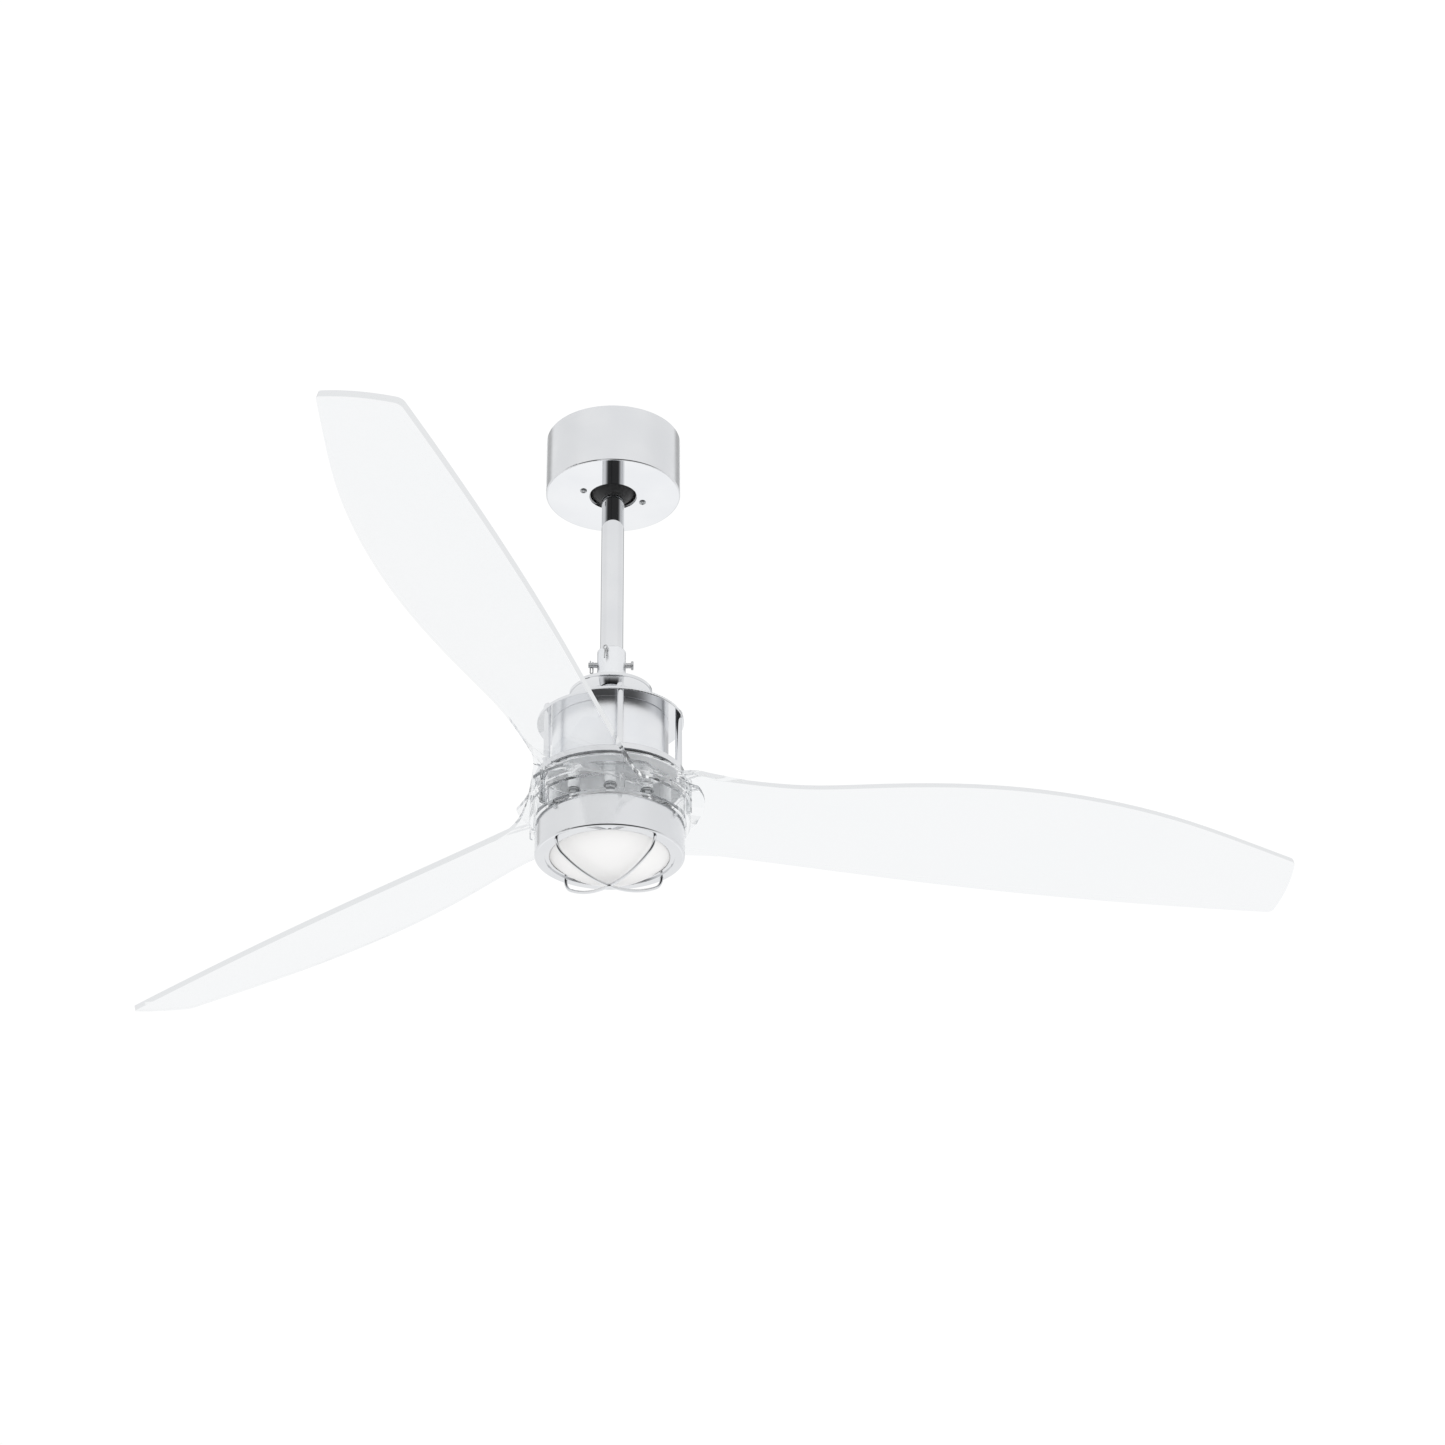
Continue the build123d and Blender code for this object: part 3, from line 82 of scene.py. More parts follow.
# Soft edges of the studio's zones. Each is a pair of values of a direction in the viewer's axes: how far it
# points up, away from the viewer, or sideways.
BOUNCE_UP = (-0.62, -0.40)
BOUNCE_AWAY = (0.55, 0.80)
DARK_UP = (-0.35, 0.12)
DARK_AWAY = (-0.55, 0.15)
SIDE_ACROSS = (0.62, 0.86)
STRIP_INNER = (0.22, 0.30)
STRIP_OUTER = (0.54, 0.66)
STRIP_AWAY = (0.3, 0.45)
STRIP_UP = (0.25, 0.35)

# Name, place in the viewer's axes, width and height, and power in watts of each lamp.
LAMPS = (
    ("key", (-1.9, -1.5, 0.5), (1.2, 1.6), 18),
    ("fill", (2.2, -0.9, 0.1), (0.9, 1.8), 10),
    ("under", (0.3, -1.1, -1.7), (1.2, 1.2), 6),
)


def add_camera():
    """Camera below the fan, looking up at it as a person in the room would."""
    level = Matrix.Rotation(CAMERA_TURN, 4, "Z")
    aim = Matrix.Rotation(-CAMERA_YAW, 4, "Z") @ Matrix.Rotation(math.pi / 2 + CAMERA_TILT, 4, "X")
    roll = Matrix.Rotation(CAMERA_ROLL, 4, "Z")
    data = bpy.data.cameras.new("camera")
    data.sensor_width = CAMERA_SENSOR
    data.lens = CAMERA_LENS
    data.clip_end = CAMERA_REACH
    camera = bpy.data.objects.new("camera", data)
    scene.collection.objects.link(camera)
    camera.matrix_world = level @ Matrix.Translation((0, -CAMERA_AWAY, -CAMERA_DOWN)) @ aim @ roll
    scene.camera = camera


def ramp_between(tree, value, edges, levels):
    """Smooth step of a value: levels[0] below edges[0], levels[1] above edges[1]."""
    step = tree.nodes.new("ShaderNodeMapRange")
    step.interpolation_type = "SMOOTHSTEP"
    tree.links.new(value, step.inputs["Value"])
    step.inputs["From Min"].default_value = edges[0]
    step.inputs["From Max"].default_value = edges[1]
    step.inputs["To Min"].default_value = levels[0]
    step.inputs["To Max"].default_value = levels[1]
    return step.outputs["Result"]


def math_node(tree, operation, first, second):
    """One arithmetic node. Each operand is a socket or a number."""
    node = tree.nodes.new("ShaderNodeMath")
    node.operation = operation
    for socket, operand in zip(node.inputs, (first, second)):
        if isinstance(operand, (int, float)):
            socket.default_value = operand
        else:
            tree.links.new(operand, socket)
    return node.outputs[0]


def add_world():
    """White studio with a bright floor bounce, a dark room behind the viewer and dark strips at the sides.

    The clear plastic meets an even room instead, and the camera sees plain white.
    """
    world = bpy.data.worlds.new("studio")
    scene.world = world
    world.use_nodes = True
    tree = world.node_tree
    tree.nodes.clear()
    coordinates = tree.nodes.new("ShaderNodeTexCoord")
    turn = tree.nodes.new("ShaderNodeMapping")
    turn.inputs["Rotation"].default_value = (0, 0, -CAMERA_TURN)
    tree.links.new(coordinates.outputs["Generated"], turn.inputs["Vector"])
    split = tree.nodes.new("ShaderNodeSeparateXYZ")
    tree.links.new(turn.outputs["Vector"], split.inputs["Vector"])
    across, away, up = split.outputs

    below = ramp_between(tree, up, BOUNCE_UP, (1.0, 0.0))
    bounce = math_node(tree, "MULTIPLY", below, ramp_between(tree, away, BOUNCE_AWAY, (0.0, BOUNCE_LEVEL)))
    near_side = ramp_between(tree, away, DARK_AWAY, (1.0, 0.0))
    under = ramp_between(tree, up, DARK_UP, (1.0, 0.0))
    dark_room = math_node(tree, "MULTIPLY", near_side, under)
    sideways = math_node(tree, "ABSOLUTE", across, 0.0)
    sides = ramp_between(tree, sideways, SIDE_ACROSS, (0.0, SIDE_DARKNESS))
    strip_start = ramp_between(tree, sideways, STRIP_INNER, (0.0, STRIP_DARKNESS))
    strip_end = ramp_between(tree, sideways, STRIP_OUTER, (1.0, 0.0))
    strip = math_node(tree, "MULTIPLY", strip_start, strip_end)
    strip = math_node(tree, "MULTIPLY", strip, ramp_between(tree, away, STRIP_AWAY, (0.0, 1.0)))
    strip = math_node(tree, "MULTIPLY", strip, ramp_between(tree, up, STRIP_UP, (0.0, 1.0)))
    base = math_node(tree, "SUBTRACT", ROOM_LEVEL, math_node(tree, "MULTIPLY", dark_room, ROOM_DARKNESS))
    base = math_node(tree, "SUBTRACT", base, math_node(tree, "MULTIPLY", sides, base))
    base = math_node(tree, "SUBTRACT", base, math_node(tree, "MULTIPLY", strip, base))
    level = math_node(tree, "ADD", base, bounce)
    path = tree.nodes.new("ShaderNodeLightPath")
    through = math_node(tree, "GREATER_THAN", path.outputs["Transmission Depth"], 0.5)
    even = math_node(tree, "MULTIPLY", through, CLEAR_LEVEL)
    level = math_node(tree, "MULTIPLY", level, math_node(tree, "SUBTRACT", 1.0, through))
    level = math_node(tree, "ADD", level, even)

    output = tree.nodes.new("ShaderNodeOutputWorld")
    background = tree.nodes.new("ShaderNodeBackground")
    background.inputs["Color"].default_value = STUDIO_TINT
    tree.links.new(level, background.inputs["Strength"])
    seen = tree.nodes.new("ShaderNodeBackground")
    seen.inputs["Color"].default_value = (1, 1, 1, 1)
    seen.inputs["Strength"].default_value = SEEN_LEVEL
    mix = tree.nodes.new("ShaderNodeMixShader")
    tree.links.new(path.outputs["Is Camera Ray"], mix.inputs["Fac"])
    tree.links.new(background.outputs[0], mix.inputs[1])
    tree.links.new(seen.outputs[0], mix.inputs[2])
    tree.links.new(mix.outputs[0], output.inputs["Surface"])


def add_softbox(name, place, size, power):
    """Soft area lamp aimed at the fan's motor and not mirrored. place is in the viewer's axes."""
    data = bpy.data.lights.new(name, "AREA")
    data.shape = "RECTANGLE"
    data.size, data.size_y = size
    data.energy = power
    lamp = bpy.data.objects.new(name, data)
    scene.collection.objects.link(lamp)
    lamp.visible_glossy = False
    lamp.visible_transmission = False
    spot = Matrix.Rotation(CAMERA_TURN, 3, "Z") @ Vector(place)
    lamp.location = spot
    lamp.rotation_mode = "QUATERNION"
    lamp.rotation_quaternion = (Vector(LAMP_AIM) - spot).to_track_quat("-Z", "Y")


def add_floor():
    """Plain pale floor of the room, well below the fan."""
    bpy.ops.mesh.primitive_plane_add(size=FLOOR_SIZE, location=(0, 0, FLOOR_Z))
    floor = bpy.context.object
    floor.name = "floor"
    floor.visible_glossy = False
    floor.data.materials.append(finish(
        "floor_paint", ((0.825, 0.825, 0.825), (0.835, 0.835, 0.835)), (0.7, 0.85), scale=3, bump=0.1,
    ))


# ================================================================ materials

WANDER = (0.3, 0.7)  # noise values between which a finish goes from one look to the other
BUMP_DEPTH = 0.2 * MM
BUMP_FINENESS = 12  # bumps are this many times finer than the wander of the colour, unless a grain is given


def object_noise(tree, scale, stretch=(1, 1, 1), detail=4.0):
    """Noise in the piece's own coordinates, in metres, drawn out by stretch."""
    coordinates = tree.nodes.new("ShaderNodeTexCoord")
    mapping = tree.nodes.new("ShaderNodeMapping")
    mapping.inputs["Scale"].default_value = stretch
    noise = tree.nodes.new("ShaderNodeTexNoise")
    noise.inputs["Scale"].default_value = scale
    noise.inputs["Detail"].default_value = detail
    tree.links.new(coordinates.outputs["Object"], mapping.inputs["Vector"])
    tree.links.new(mapping.outputs["Vector"], noise.inputs["Vector"])
    return noise.outputs["Fac"]


def mix_colors(tree, share, first, second):
    """Colour between first, at share 0, and second, at share 1."""
    mix = tree.nodes.new("ShaderNodeMix")
    mix.data_type = "RGBA"
    tree.links.new(share, mix.inputs["Factor"])
    mix.inputs["A"].default_value = (*first, 1)
    mix.inputs["B"].default_value = (*second, 1)
    return mix.outputs["Result"]


def add_bump(tree, shader, height, strength):
    """Fine unevenness of the surface, BUMP_DEPTH deep at strength 1."""
    bump = tree.nodes.new("ShaderNodeBump")
    bump.inputs["Strength"].default_value = strength
    bump.inputs["Distance"].default_value = BUMP_DEPTH
    tree.links.new(height, bump.inputs["Height"])
    tree.links.new(bump.outputs["Normal"], shader.inputs["Normal"])


def finish(
    name, colors, roughness, scale, stretch=(1, 1, 1), metallic=0.0, bump=0.0, grain=None, **constants
):
    """Principled material whose colour and roughness wander between two values."""
    material = bpy.data.materials.new(name)
    material.use_nodes = True
    tree = material.node_tree
    shader = tree.nodes["Principled BSDF"]
    wander = ramp_between(tree, object_noise(tree, scale, stretch), WANDER, (0.0, 1.0))
    tree.links.new(mix_colors(tree, wander, *colors), shader.inputs["Base Color"])
    tree.links.new(ramp_between(tree, wander, (0.0, 1.0), roughness), shader.inputs["Roughness"])
    shader.inputs["Metallic"].default_value = metallic
    for socket, value in constants.items():
        shader.inputs[socket.replace("_", " ")].default_value = value
    if bump:
        fine = object_noise(tree, grain or BUMP_FINENESS * scale, stretch, detail=2.0)
        add_bump(tree, shader, fine, bump)
    return material


CLEAR_IOR = 1.26  # low, so that the hub seen through several walls stays as plain as in a bright room
LONGEST_PATH = 6.5  # bounces after which a ray leaves the plastic
LONGEST_MIRROR = 1.5  # mirrorings inside the plastic after which a ray leaves it
LATE_TINT = (0.84, 0.845, 0.85, 1)  # what such a ray keeps of its light


def clear_plastic():
    """Clear polycarbonate that lamps shine through. A ray caught inside for long leaves it dimmed."""
    material = finish(
        "clear_plastic", ((0.985, 0.99, 0.992), (0.992, 0.994, 0.995)), (0.0, 0.012), scale=6,
        Transmission_Weight=1.0, IOR=CLEAR_IOR,
    )
    tree = material.node_tree
    shader = tree.nodes["Principled BSDF"]
    output = tree.nodes["Material Output"]
    path = tree.nodes.new("ShaderNodeLightPath")
    long_path = math_node(tree, "GREATER_THAN", path.outputs["Ray Depth"], LONGEST_PATH)
    trapped = math_node(tree, "GREATER_THAN", path.outputs["Glossy Depth"], LONGEST_MIRROR)
    late = math_node(tree, "MAXIMUM", long_path, trapped)
    late = math_node(tree, "MAXIMUM", late, path.outputs["Is Shadow Ray"])
    leave = tree.nodes.new("ShaderNodeBsdfTransparent")
    leave.inputs["Color"].default_value = LATE_TINT
    mix = tree.nodes.new("ShaderNodeMixShader")
    tree.links.new(late, mix.inputs["Fac"])
    tree.links.new(shader.outputs[0], mix.inputs[1])
    tree.links.new(leave.outputs[0], mix.inputs[2])
    tree.links.new(mix.outputs[0], output.inputs["Surface"])
    return material


CHROME = ((0.755, 0.762, 0.778), (0.795, 0.800, 0.810))
POLISHED = 0.025  # roughness of the faces that look up or down
WALL_SOFTNESS = (0.13, 0.19)  # what upright walls add to it
WALL_TILT = (0.02, 0.15)  # upward part of the normal over which a face turns from wall to flat
STREAK_SCALE = 30
STREAK_STRETCH = (1, 1, 8)


def two_zone_chrome(name):
    """Plated chrome, soft on upright walls and mirror bright on faces that look up or down."""
    material = finish(name, CHROME, (0.02, 0.05), scale=18, metallic=1.0)
    tree = material.node_tree
    shader = tree.nodes["Principled BSDF"]
    coordinates = tree.nodes.new("ShaderNodeTexCoord")
    split = tree.nodes.new("ShaderNodeSeparateXYZ")
    tree.links.new(coordinates.outputs["Normal"], split.inputs["Vector"])
    flat = math_node(tree, "ABSOLUTE", split.outputs["Z"], 0.0)
    streaks = object_noise(tree, STREAK_SCALE, STREAK_STRETCH)
    soft = ramp_between(tree, streaks, WANDER, WALL_SOFTNESS)
    share = ramp_between(tree, flat, WALL_TILT, (1.0, 0.0))
    roughness = math_node(tree, "ADD", math_node(tree, "MULTIPLY", share, soft), POLISHED)
    tree.links.new(roughness, shader.inputs["Roughness"])
    return material


def make_materials():
    """One finish for each material slot of the record, and a few that share a slot."""
    return {
        "chrome": finish("chrome", CHROME, (0.02, 0.05), scale=25, metallic=1.0),
        "chrome_wall": two_zone_chrome("chrome_wall"),
        "pale_hub": finish(
            "pale_hub", ((0.88, 0.885, 0.89), (0.92, 0.92, 0.925)), (0.30, 0.40), scale=60, bump=0.05,
        ),
        "satin_aluminium": finish(
            "satin_aluminium", ((0.84, 0.852, 0.875), (0.89, 0.897, 0.91)), (0.28, 0.32), scale=30,
            metallic=1.0, bump=0.03, grain=1500,
        ),
        "zinc_steel": finish(
            "zinc_steel", ((0.46, 0.47, 0.48), (0.60, 0.60, 0.60)), (0.25, 0.42), scale=90,
            metallic=1.0, bump=0.15,
        ),
        "black_rubber": finish(
            "black_rubber", ((0.006, 0.006, 0.007), (0.014, 0.014, 0.015)), (0.42, 0.6), scale=70, bump=0.3,
        ),
        "clear_plastic": clear_plastic(),
        "opal_glass": finish(
            "opal_glass", ((0.94, 0.93, 0.92), (0.955, 0.945, 0.935)), (0.38, 0.48), scale=15,
            bump=0.05, grain=900,
        ),
        "dark_plastic": finish(
            "dark_plastic", ((0.018, 0.018, 0.019), (0.03, 0.03, 0.032)), (0.4, 0.55), scale=60, bump=0.25,
        ),
        "copper": finish(
            "copper", ((0.62, 0.25, 0.11), (0.78, 0.36, 0.18)), (0.22, 0.36), scale=70,
            metallic=1.0, bump=0.3,
        ),
        "iron": finish(
            "iron", ((0.16, 0.16, 0.17), (0.26, 0.26, 0.26)), (0.4, 0.55), scale=80, stretch=(1, 1, 25),
            metallic=1.0, bump=0.3,
        ),
        "bearing_steel": finish(
            "bearing_steel", ((0.50, 0.50, 0.51), (0.58, 0.58, 0.58)), (0.08, 0.16), scale=60, metallic=1.0,
        ),
        "white_board": finish(
            "white_board", ((0.82, 0.83, 0.83), (0.88, 0.88, 0.88)), (0.35, 0.45), scale=50, bump=0.1,
        ),
        "led_yellow": finish(
            "led_yellow", ((0.80, 0.62, 0.12), (0.88, 0.72, 0.20)), (0.3, 0.42), scale=300, bump=0.1,
        ),
    }


# ================================================================ shapes

SMOOTH_UP_TO = math.radians(35)  # faces that meet at less than this are shaded as one
MERGE_WITHIN = 0.0001 * MM
CORNER_SHARE = 0.45  # most of an edge that the rounding of one corner may take


def rounded(profile, radius, steps=4):
    """Polyline of (radius, height) points with its inner corners rounded off."""
    points = [Vector(point) for point in profile]
    result = [points[0]]
    for before, corner, after in zip(points, points[1:], points[2:]):
        to_before, to_after = before - corner, after - corner
        cut = min(radius, CORNER_SHARE * to_before.length, CORNER_SHARE * to_after.length)
        start = corner + cut * to_before.normalized()
        end = corner + cut * to_after.normalized()
        for step in range(steps + 1):
            share = step / steps
            result.append((1 - share) ** 2 * start + 2 * share * (1 - share) * corner + share ** 2 * end)
    result.append(points[-1])
    return result


def ring_surface(rings):
    """bmesh skin over a list of rings of equally many points, closed round each ring."""
    skin = bmesh.new()
    rows = [[skin.verts.new(point) for point in ring] for ring in rings]
    for lower, upper in zip(rows, rows[1:]):
        for index in range(len(lower)):
            following = (index + 1) % len(lower)
            skin.faces.new((lower[index], lower[following], upper[following], upper[index]))
    bmesh.ops.remove_doubles(skin, verts=skin.verts, dist=MERGE_WITHIN)
    bmesh.ops.recalc_face_normals(skin, faces=skin.faces)
    return skin


def lathe(profile, segments=48):
    """Turned body about Z from (radius, height) points."""
    turns = [2 * math.pi * index / segments for index in range(segments)]
    return ring_surface([
        [(radius * math.cos(turn), radius * math.sin(turn), height) for turn in turns]
        for radius, height in profile
    ])


NUT_FACE = 0.97  # radius of a nut's round end face, as a share of half its width over flats
NUT_BORE = 0.3  # radius of the opening in its lower face, as a share of that face
NUT_CHAMFER = 0.55  # drop of its chamfer, as a share of the chamfer's width


def hexagon(across_flats, low, high, top_profile, segments=48):
    """Hexagon nut with chamfered corners, closed by top_profile of (radius, height) points."""
    half = across_flats / 2
    face = NUT_FACE * half
    bore = NUT_BORE * face
    sixth = math.pi / 3
    turns = [2 * math.pi * index / segments for index in range(segments)]
    reach = [half / math.cos((turn + sixth / 2) % sixth - sixth / 2) for turn in turns]
    drop = [NUT_CHAMFER * (far - face) for far in reach]

    def circle(radius, height):
        return [(radius * math.cos(turn), radius * math.sin(turn), height) for turn in turns]

    rings = [circle(bore, low), circle(face, low)]
    for height, sign in ((low, 1), (high, -1)):
        rings.append([
            (far * math.cos(turn), far * math.sin(turn), height + sign * fall)
            for turn, far, fall in zip(turns, reach, drop)
        ])
    rings.append(circle(face, high))
    rings += [circle(radius, height) for radius, height in top_profile]
    return ring_surface(rings)


def tube(points, radius, closed=False, sides=10):
    """Round wire through the points, closed on itself or with flat ends."""
    points = [Vector(point) for point in points]
    count = len(points)
    rings = []
    side = None
    for index, point in enumerate(points):
        ahead = points[(index + 1) % count] if closed else points[min(index + 1, count - 1)]
        behind = points[index - 1] if closed else points[max(index - 1, 0)]
        along = (ahead - behind).normalized()
        if side is None:
            side = along.orthogonal().normalized()
        side = (side - side.dot(along) * along).normalized()
        other = along.cross(side)
        turns = [2 * math.pi * step / sides for step in range(sides)]
        rings.append([point + radius * (math.cos(turn) * side + math.sin(turn) * other) for turn in turns])
    if closed:
        rings.append(rings[0])
    else:
        rings.insert(0, [points[0]] * sides)
        rings.append([points[-1]] * sides)
    return ring_surface(rings)


def gather(skins, name, material, node):
    """One piece out of several skins, riding on the body of the CAD node it replaces."""
    whole = bmesh.new()
    for skin in skins:
        part = bpy.data.meshes.new(name)
        skin.to_mesh(part)
        skin.free()
        whole.from_mesh(part)
        bpy.data.meshes.remove(part)
    mesh = bpy.data.meshes.new(name)
    whole.to_mesh(mesh)
    whole.free()
    mesh.shade_smooth()
    mesh.set_sharp_from_angle(angle=SMOOTH_UP_TO)
    mesh.materials.append(material)
    piece = bpy.data.objects.new(name, mesh)
    scene.collection.objects.link(piece)
    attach(piece, body_of[node])
    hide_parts(node)


def moved(skin, matrix):
    """The skin itself, after a move."""
    bmesh.ops.transform(skin, matrix=matrix, verts=skin.verts)
    return skin


def clusters(node, reach):
    """(lowest, highest) corners of the groups of a CAD node's points that stand within reach."""
    groups = []
    for vertex in nodes[node].data.vertices:
        spot = vertex.co
        for group in groups:
            if (group["seed"] - spot).xy.length < reach:
                break
        else:
            group = {"seed": spot.copy(), "low": spot.copy(), "high": spot.copy()}
            groups.append(group)
        for axis in range(3):
            group["low"][axis] = min(group["low"][axis], spot[axis])
            group["high"][axis] = max(group["high"][axis], spot[axis])
    return [(group["low"], group["high"]) for group in groups]


# ================================================================ pieces

# Points of one fastener lie within this of one another.
SCREW_REACH = 9 * MM
STUD_REACH = 12 * MM
FOOT_REACH = 8 * MM

# Shares of a screw head's radius.
HEAD_HEIGHT = 0.55
HEAD_TOP = 0.62
RECESS_LENGTH = 1.15
RECESS_WIDTH = 0.26
SHANK = 0.6
SCREW_SPREAD = 4  # screws of one node stand farther apart than this

# Shares of a screw head's height.
HEAD_EDGE = 0.45
HEAD_ROUND = 0.3
RECESS_DEPTH = 0.9  # half of it stands outside the head


def pan_head(radius, height, turn):
    """Domed screw head that looks down, with a cross recess cut into it."""
    outline = [
        (0, 0), (radius, 0), (radius, -HEAD_EDGE * height), (HEAD_TOP * radius, -height), (0, -height),
    ]
    head = lathe(rounded(outline, HEAD_ROUND * height))
    mesh = bpy.data.meshes.new("head")
    head.to_mesh(mesh)
    head.free()
    body = bpy.data.objects.new("head", mesh)
    scene.collection.objects.link(body)
    cutter_skin = bmesh.new()
    for quarter in (0, 1):
        bmesh.ops.create_cube(cutter_skin, size=1.0, matrix=(
            Matrix.Rotation(quarter * math.pi / 2, 4, "Z")
            @ Matrix.Translation((0, 0, -height))
            @ Matrix.Diagonal((RECESS_LENGTH * radius, RECESS_WIDTH * radius, RECESS_DEPTH * height, 1))
        ))
    cutter_mesh = bpy.data.meshes.new("cutter")
    cutter_skin.to_mesh(cutter_mesh)
    cutter_skin.free()
    cutter = bpy.data.objects.new("cutter", cutter_mesh)
    scene.collection.objects.link(cutter)
    cut = body.modifiers.new("recess", "BOOLEAN")
    cut.operation = "DIFFERENCE"
    cut.object = cutter
    cut.use_self = True
    bpy.context.view_layer.update()
    finished = bmesh.new()
    finished.from_mesh(body.evaluated_get(bpy.context.evaluated_depsgraph_get()).to_mesh())
    bpy.data.objects.remove(body)
    bpy.data.objects.remove(cutter)
    bmesh.ops.rotate(finished, verts=finished.verts, matrix=Matrix.Rotation(turn, 3, "Z"))
    return finished


def add_pan_screws(node, name, material, looks_up=False):
    """Cross-recessed pan heads in place of a CAD node's plain screw heads."""
    skins = []
    for low, high in clusters(node, SCREW_SPREAD * head_radius(node)):
        radius = (high.x - low.x) / 2
        height = HEAD_HEIGHT * radius
        face = high.z if looks_up else low.z
        head = pan_head(radius, height, random.uniform(0, math.pi))
        length = high.z - low.z - height
        shank = lathe([(0, 0), (SHANK * radius, 0), (SHANK * radius, length), (0, length)], 24)
        flip = Matrix.Rotation(math.pi, 4, "X") if looks_up else Matrix.Identity(4)
        seat = face - height if looks_up else face + height
        place = Matrix.Translation(((low.x + high.x) / 2, (low.y + high.y) / 2, seat)) @ flip
        skins += [moved(head, place), moved(shank, place)]
    gather(skins, name, material, node)


def head_radius(node):
    """Radius of the first screw head of a CAD node of equal screws."""
    first = nodes[node].data.vertices[0].co
    spots = [vertex.co for vertex in nodes[node].data.vertices]
    near = [spot for spot in spots if (spot - first).xy.length < SCREW_REACH]
    return (max(spot.x for spot in near) - min(spot.x for spot in near)) / 2


DOME_WIDTH = 0.46  # radius of a cap nut's dome, as a share of its width over flats
DOME_STEPS = 8

# Shares of a cap nut's height, from its face to the top of its dome.
HEXAGON_HEIGHT = 0.5
DOME_FOOT = 0.06
DOME_HEIGHT = 0.44


def add_cap_nuts(materials):
    """Acorn nuts on the cage's studs: a hexagon with a narrower dome."""
    skins = []
    for low, high in clusters("cap_nuts", STUD_REACH):
        tall = high.z - low.z
        wide = (high.x - low.x) * math.cos(math.pi / 6)
        dome_radius = DOME_WIDTH * wide
        neck = low.z + HEXAGON_HEIGHT * tall
        foot = neck + DOME_FOOT * tall
        dome = [(dome_radius, neck)]
        for step in range(DOME_STEPS + 1):
            turn = math.pi / 2 * step / DOME_STEPS
            dome.append((dome_radius * math.cos(turn), foot + DOME_HEIGHT * tall * math.sin(turn)))
        nut = hexagon(wide, low.z, neck, dome)
        centre = ((low.x + high.x) / 2, (low.y + high.y) / 2, 0)
        skins.append(moved(nut, Matrix.Translation(centre)))
    gather(skins, "acorn_nuts", materials["chrome"], "cap_nuts")


def upright(height):
    """Vector that points straight up."""
    return Vector((0, 0, height))


def span_along(low, high, direction):
    """Least and greatest distance of a box's corners along a level direction."""
    reaches = [Vector((x, y)).dot(direction.xy) for x in (low.x, high.x) for y in (low.y, high.y)]
    return min(reaches), max(reaches)


SPLIT_WIRE = 0.62 * MM
SPLIT_EYE = 1.75 * MM
SPLIT_DEPTH = 1.6 * MM  # from the pin's front to the middle of its legs
SPLIT_GAP = 0.35  # half the angle at which the eye opens into the legs
SPLIT_SHORT_LEG = 2.2 * MM  # from the pin's foot to the end of its bent leg
SPLIT_LONG_LEG = 0.6 * MM
SPLIT_SHANK = (1.2 * MM, 5 * MM)  # from the legs to the two ends of the shank in the rod
SPLIT_THROAT = 1.5  # from the eye's middle to where the legs meet, in radii of the eye
EYE_STEPS = 12

# Sideways distances from the pin's middle to the middle of its legs, and a radius, in radii of the wire.
SPLIT_FOOT = 1.0
SPLIT_NECK = 0.9
SPLIT_BEND = 2.4
SPLIT_THICK = 1.2


def add_split_pin(materials):
    """Bent wire with an eye, its two legs hanging in front of the collar."""
    low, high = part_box("split_pin")
    centre = (low + high) / 2
    outward = Vector((centre.x, centre.y, 0)).normalized()
    across = Vector((0, 0, 1)).cross(outward)
    front = (span_along(low, high, outward)[1] - SPLIT_DEPTH) * outward
    top = high.z - SPLIT_EYE - SPLIT_WIRE
    throat = top - SPLIT_THROAT * SPLIT_EYE
    path = [front - SPLIT_FOOT * SPLIT_WIRE * across + upright(low.z + SPLIT_LONG_LEG)]
    path.append(front - SPLIT_NECK * SPLIT_WIRE * across + upright(throat))
    for step in range(EYE_STEPS + 1):
        turn = -math.pi / 2 - SPLIT_GAP - step * 2 * (math.pi - SPLIT_GAP) / EYE_STEPS
        path.append(front + SPLIT_EYE * math.cos(turn) * across + upright(top + SPLIT_EYE * math.sin(turn)))
    path.append(front + SPLIT_NECK * SPLIT_WIRE * across + upright(throat))
    path.append(front + SPLIT_BEND * SPLIT_WIRE * across + upright(low.z + SPLIT_SHORT_LEG))
    shank = [front - depth * outward + upright(top - SPLIT_EYE) for depth in SPLIT_SHANK]
    gather(
        [tube(path, SPLIT_WIRE), tube(shank, SPLIT_THICK * SPLIT_WIRE)],
        "cotter_pin", materials["zinc_steel"], "split_pin",
    )


CLIP_WIRE = 0.6 * MM
BOW_STEPS = 8
# (height over the clevis pin's middle, distance from the leg's line as a share of the bow's radius)
CLIP_WAVES = (
    (-2.6 * MM, 0.0), (-1.0 * MM, 0.12), (0.0, 0.2), (1.0 * MM, 0.12), (2.6 * MM, 0.0), (4.2 * MM, 0.25),
)


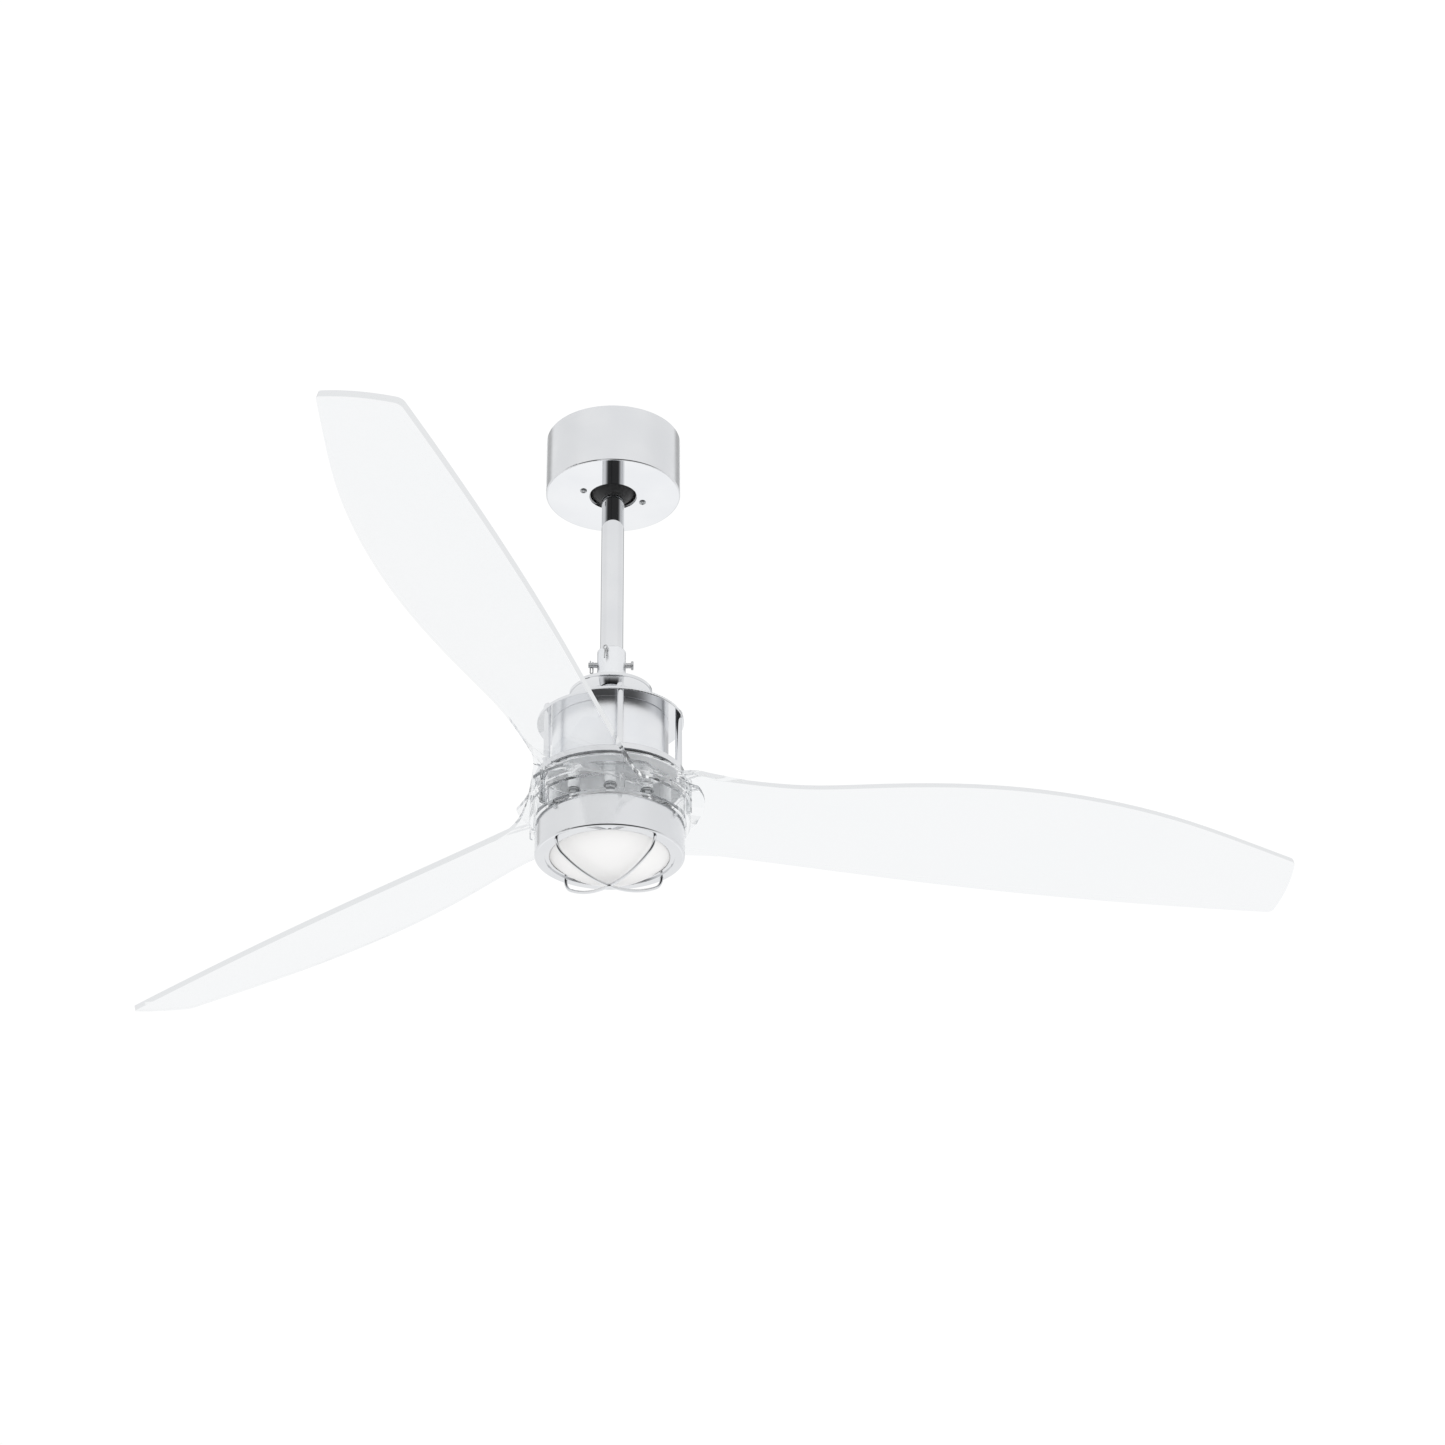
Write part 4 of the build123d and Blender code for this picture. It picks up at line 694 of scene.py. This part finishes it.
def add_pin_clip(materials):
    """Hairpin clip: a straight leg through the clevis pin and a waved leg that hugs it."""
    low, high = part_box("pin_clip")
    pin_low, pin_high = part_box("clevis_pin")
    centre = (low + high) / 2
    axis = Vector((centre.x, centre.y, 0)).normalized()
    middle = (pin_low.z + pin_high.z) / 2
    nearest, farthest = span_along(low, high, axis)
    inner = nearest + CLIP_WIRE
    outer = farthest - CLIP_WIRE
    bow = (outer - inner) / 2
    bow_height = low.z + CLIP_WIRE + bow
    path = [axis * outer + upright(high.z), axis * outer + upright(bow_height)]
    for step in range(1, BOW_STEPS + 1):
        turn = -step * math.pi / BOW_STEPS
        reach = inner + bow + bow * math.cos(turn)
        path.append(axis * reach + upright(bow_height + bow * math.sin(turn)))
    for height, share in CLIP_WAVES:
        path.append(axis * (inner + share * bow) + upright(middle + height))
    gather([tube(path, CLIP_WIRE)], "hairpin_clip", materials["zinc_steel"], "pin_clip")


TOOTH_COUNT = 12
COIL_TURNS = 7
COIL_START = 0.64  # inner radius of the coils, as a share of their outer radius
COIL_HALF_WIDTH = 4.4 * MM
COIL_SQUARENESS = 0.7
WIRE_FIT = 2.05  # pitch of the turns over the radius of their wire
LOOP_STEPS = 16
WIRE_SIDES = 8


def add_windings(materials):
    """Wound coils round the stator's teeth, each a stack of wire turns."""
    low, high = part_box("stator_windings")
    outer = (high.x - low.x) / 2
    middle = (low.z + high.z) / 2
    tall = (high.z - low.z) / 2
    inner = COIL_START * outer
    pitch = (outer - inner) / COIL_TURNS
    wire = pitch / WIRE_FIT
    half_width = COIL_HALF_WIDTH - wire
    half_height = tall - wire
    skins = []
    for coil in range(TOOTH_COUNT):
        turned = Matrix.Rotation(2 * math.pi * coil / TOOTH_COUNT, 4, "Z")
        for turn in range(COIL_TURNS):
            reach = inner + (turn + 0.5) * pitch
            loop = []
            for step in range(LOOP_STEPS):
                angle = 2 * math.pi * step / LOOP_STEPS
                across, up = math.cos(angle), math.sin(angle)
                square = max(abs(across), abs(up)) ** COIL_SQUARENESS
                loop.append((reach, half_width * across / square, middle + half_height * up / square))
            skins.append(moved(tube(loop, wire, closed=True, sides=WIRE_SIDES), turned))
    gather(skins, "wound_coils", materials["copper"], "stator_windings")


FOOT_NUT_WIDTH = 0.93  # of the CAD nut's width over corners, and of that again over flats
STUD_END = 0.26  # radius of the stud, as a share of the nut's width
STUD_DIP = 0.1  # how deep its end lies in the nut, as a share of the nut's height


def add_guard_nuts(materials):
    """Small hexagon nuts with the ends of the studs sunk into them, on the wire guard's feet."""
    skins = []
    for low, high in clusters("guard_nuts", FOOT_REACH):
        wide = max(high.x - low.x, high.y - low.y) * FOOT_NUT_WIDTH
        stud = STUD_END * wide
        sunk = high.z - STUD_DIP * (high.z - low.z)
        nut = hexagon(wide * FOOT_NUT_WIDTH, low.z, high.z, [(stud, high.z), (stud, sunk), (0, sunk)])
        skins.append(moved(nut, Matrix.Translation(((low.x + high.x) / 2, (low.y + high.y) / 2, 0))))
    gather(skins, "hexagon_nuts", materials["zinc_steel"], "guard_nuts")


# ================================================================ assembly

WALL_NODES = ("canopy", "light_band")
PALE_NODES = ("blade_hub", "blade_sleeves", "light_plate", "rotor_plate")


def dress_cad_nodes(materials):
    """Gives each CAD node that stays visible its finish."""
    for entry in frame["record"]["subparts"]:
        node = nodes[entry["node"]]
        key = entry["material_slot"]
        if node.name in WALL_NODES:
            key = "chrome_wall"
        elif node.name in PALE_NODES:
            key = "pale_hub"
        node.data.materials.clear()
        node.data.materials.append(materials[key])


scene.view_settings.view_transform = "Standard"
add_camera()
add_world()
add_floor()
for softbox in LAMPS:
    add_softbox(*softbox)
finishes = make_materials()
dress_cad_nodes(finishes)
add_pan_screws("canopy_screws", "canopy_screw_heads", finishes["zinc_steel"])
add_pan_screws("plate_screws", "plate_screw_heads", finishes["zinc_steel"])
add_pan_screws("housing_screws", "housing_screw_heads", finishes["zinc_steel"], looks_up=True)
add_cap_nuts(finishes)
add_split_pin(finishes)
add_pin_clip(finishes)
add_windings(finishes)
add_guard_nuts(finishes)
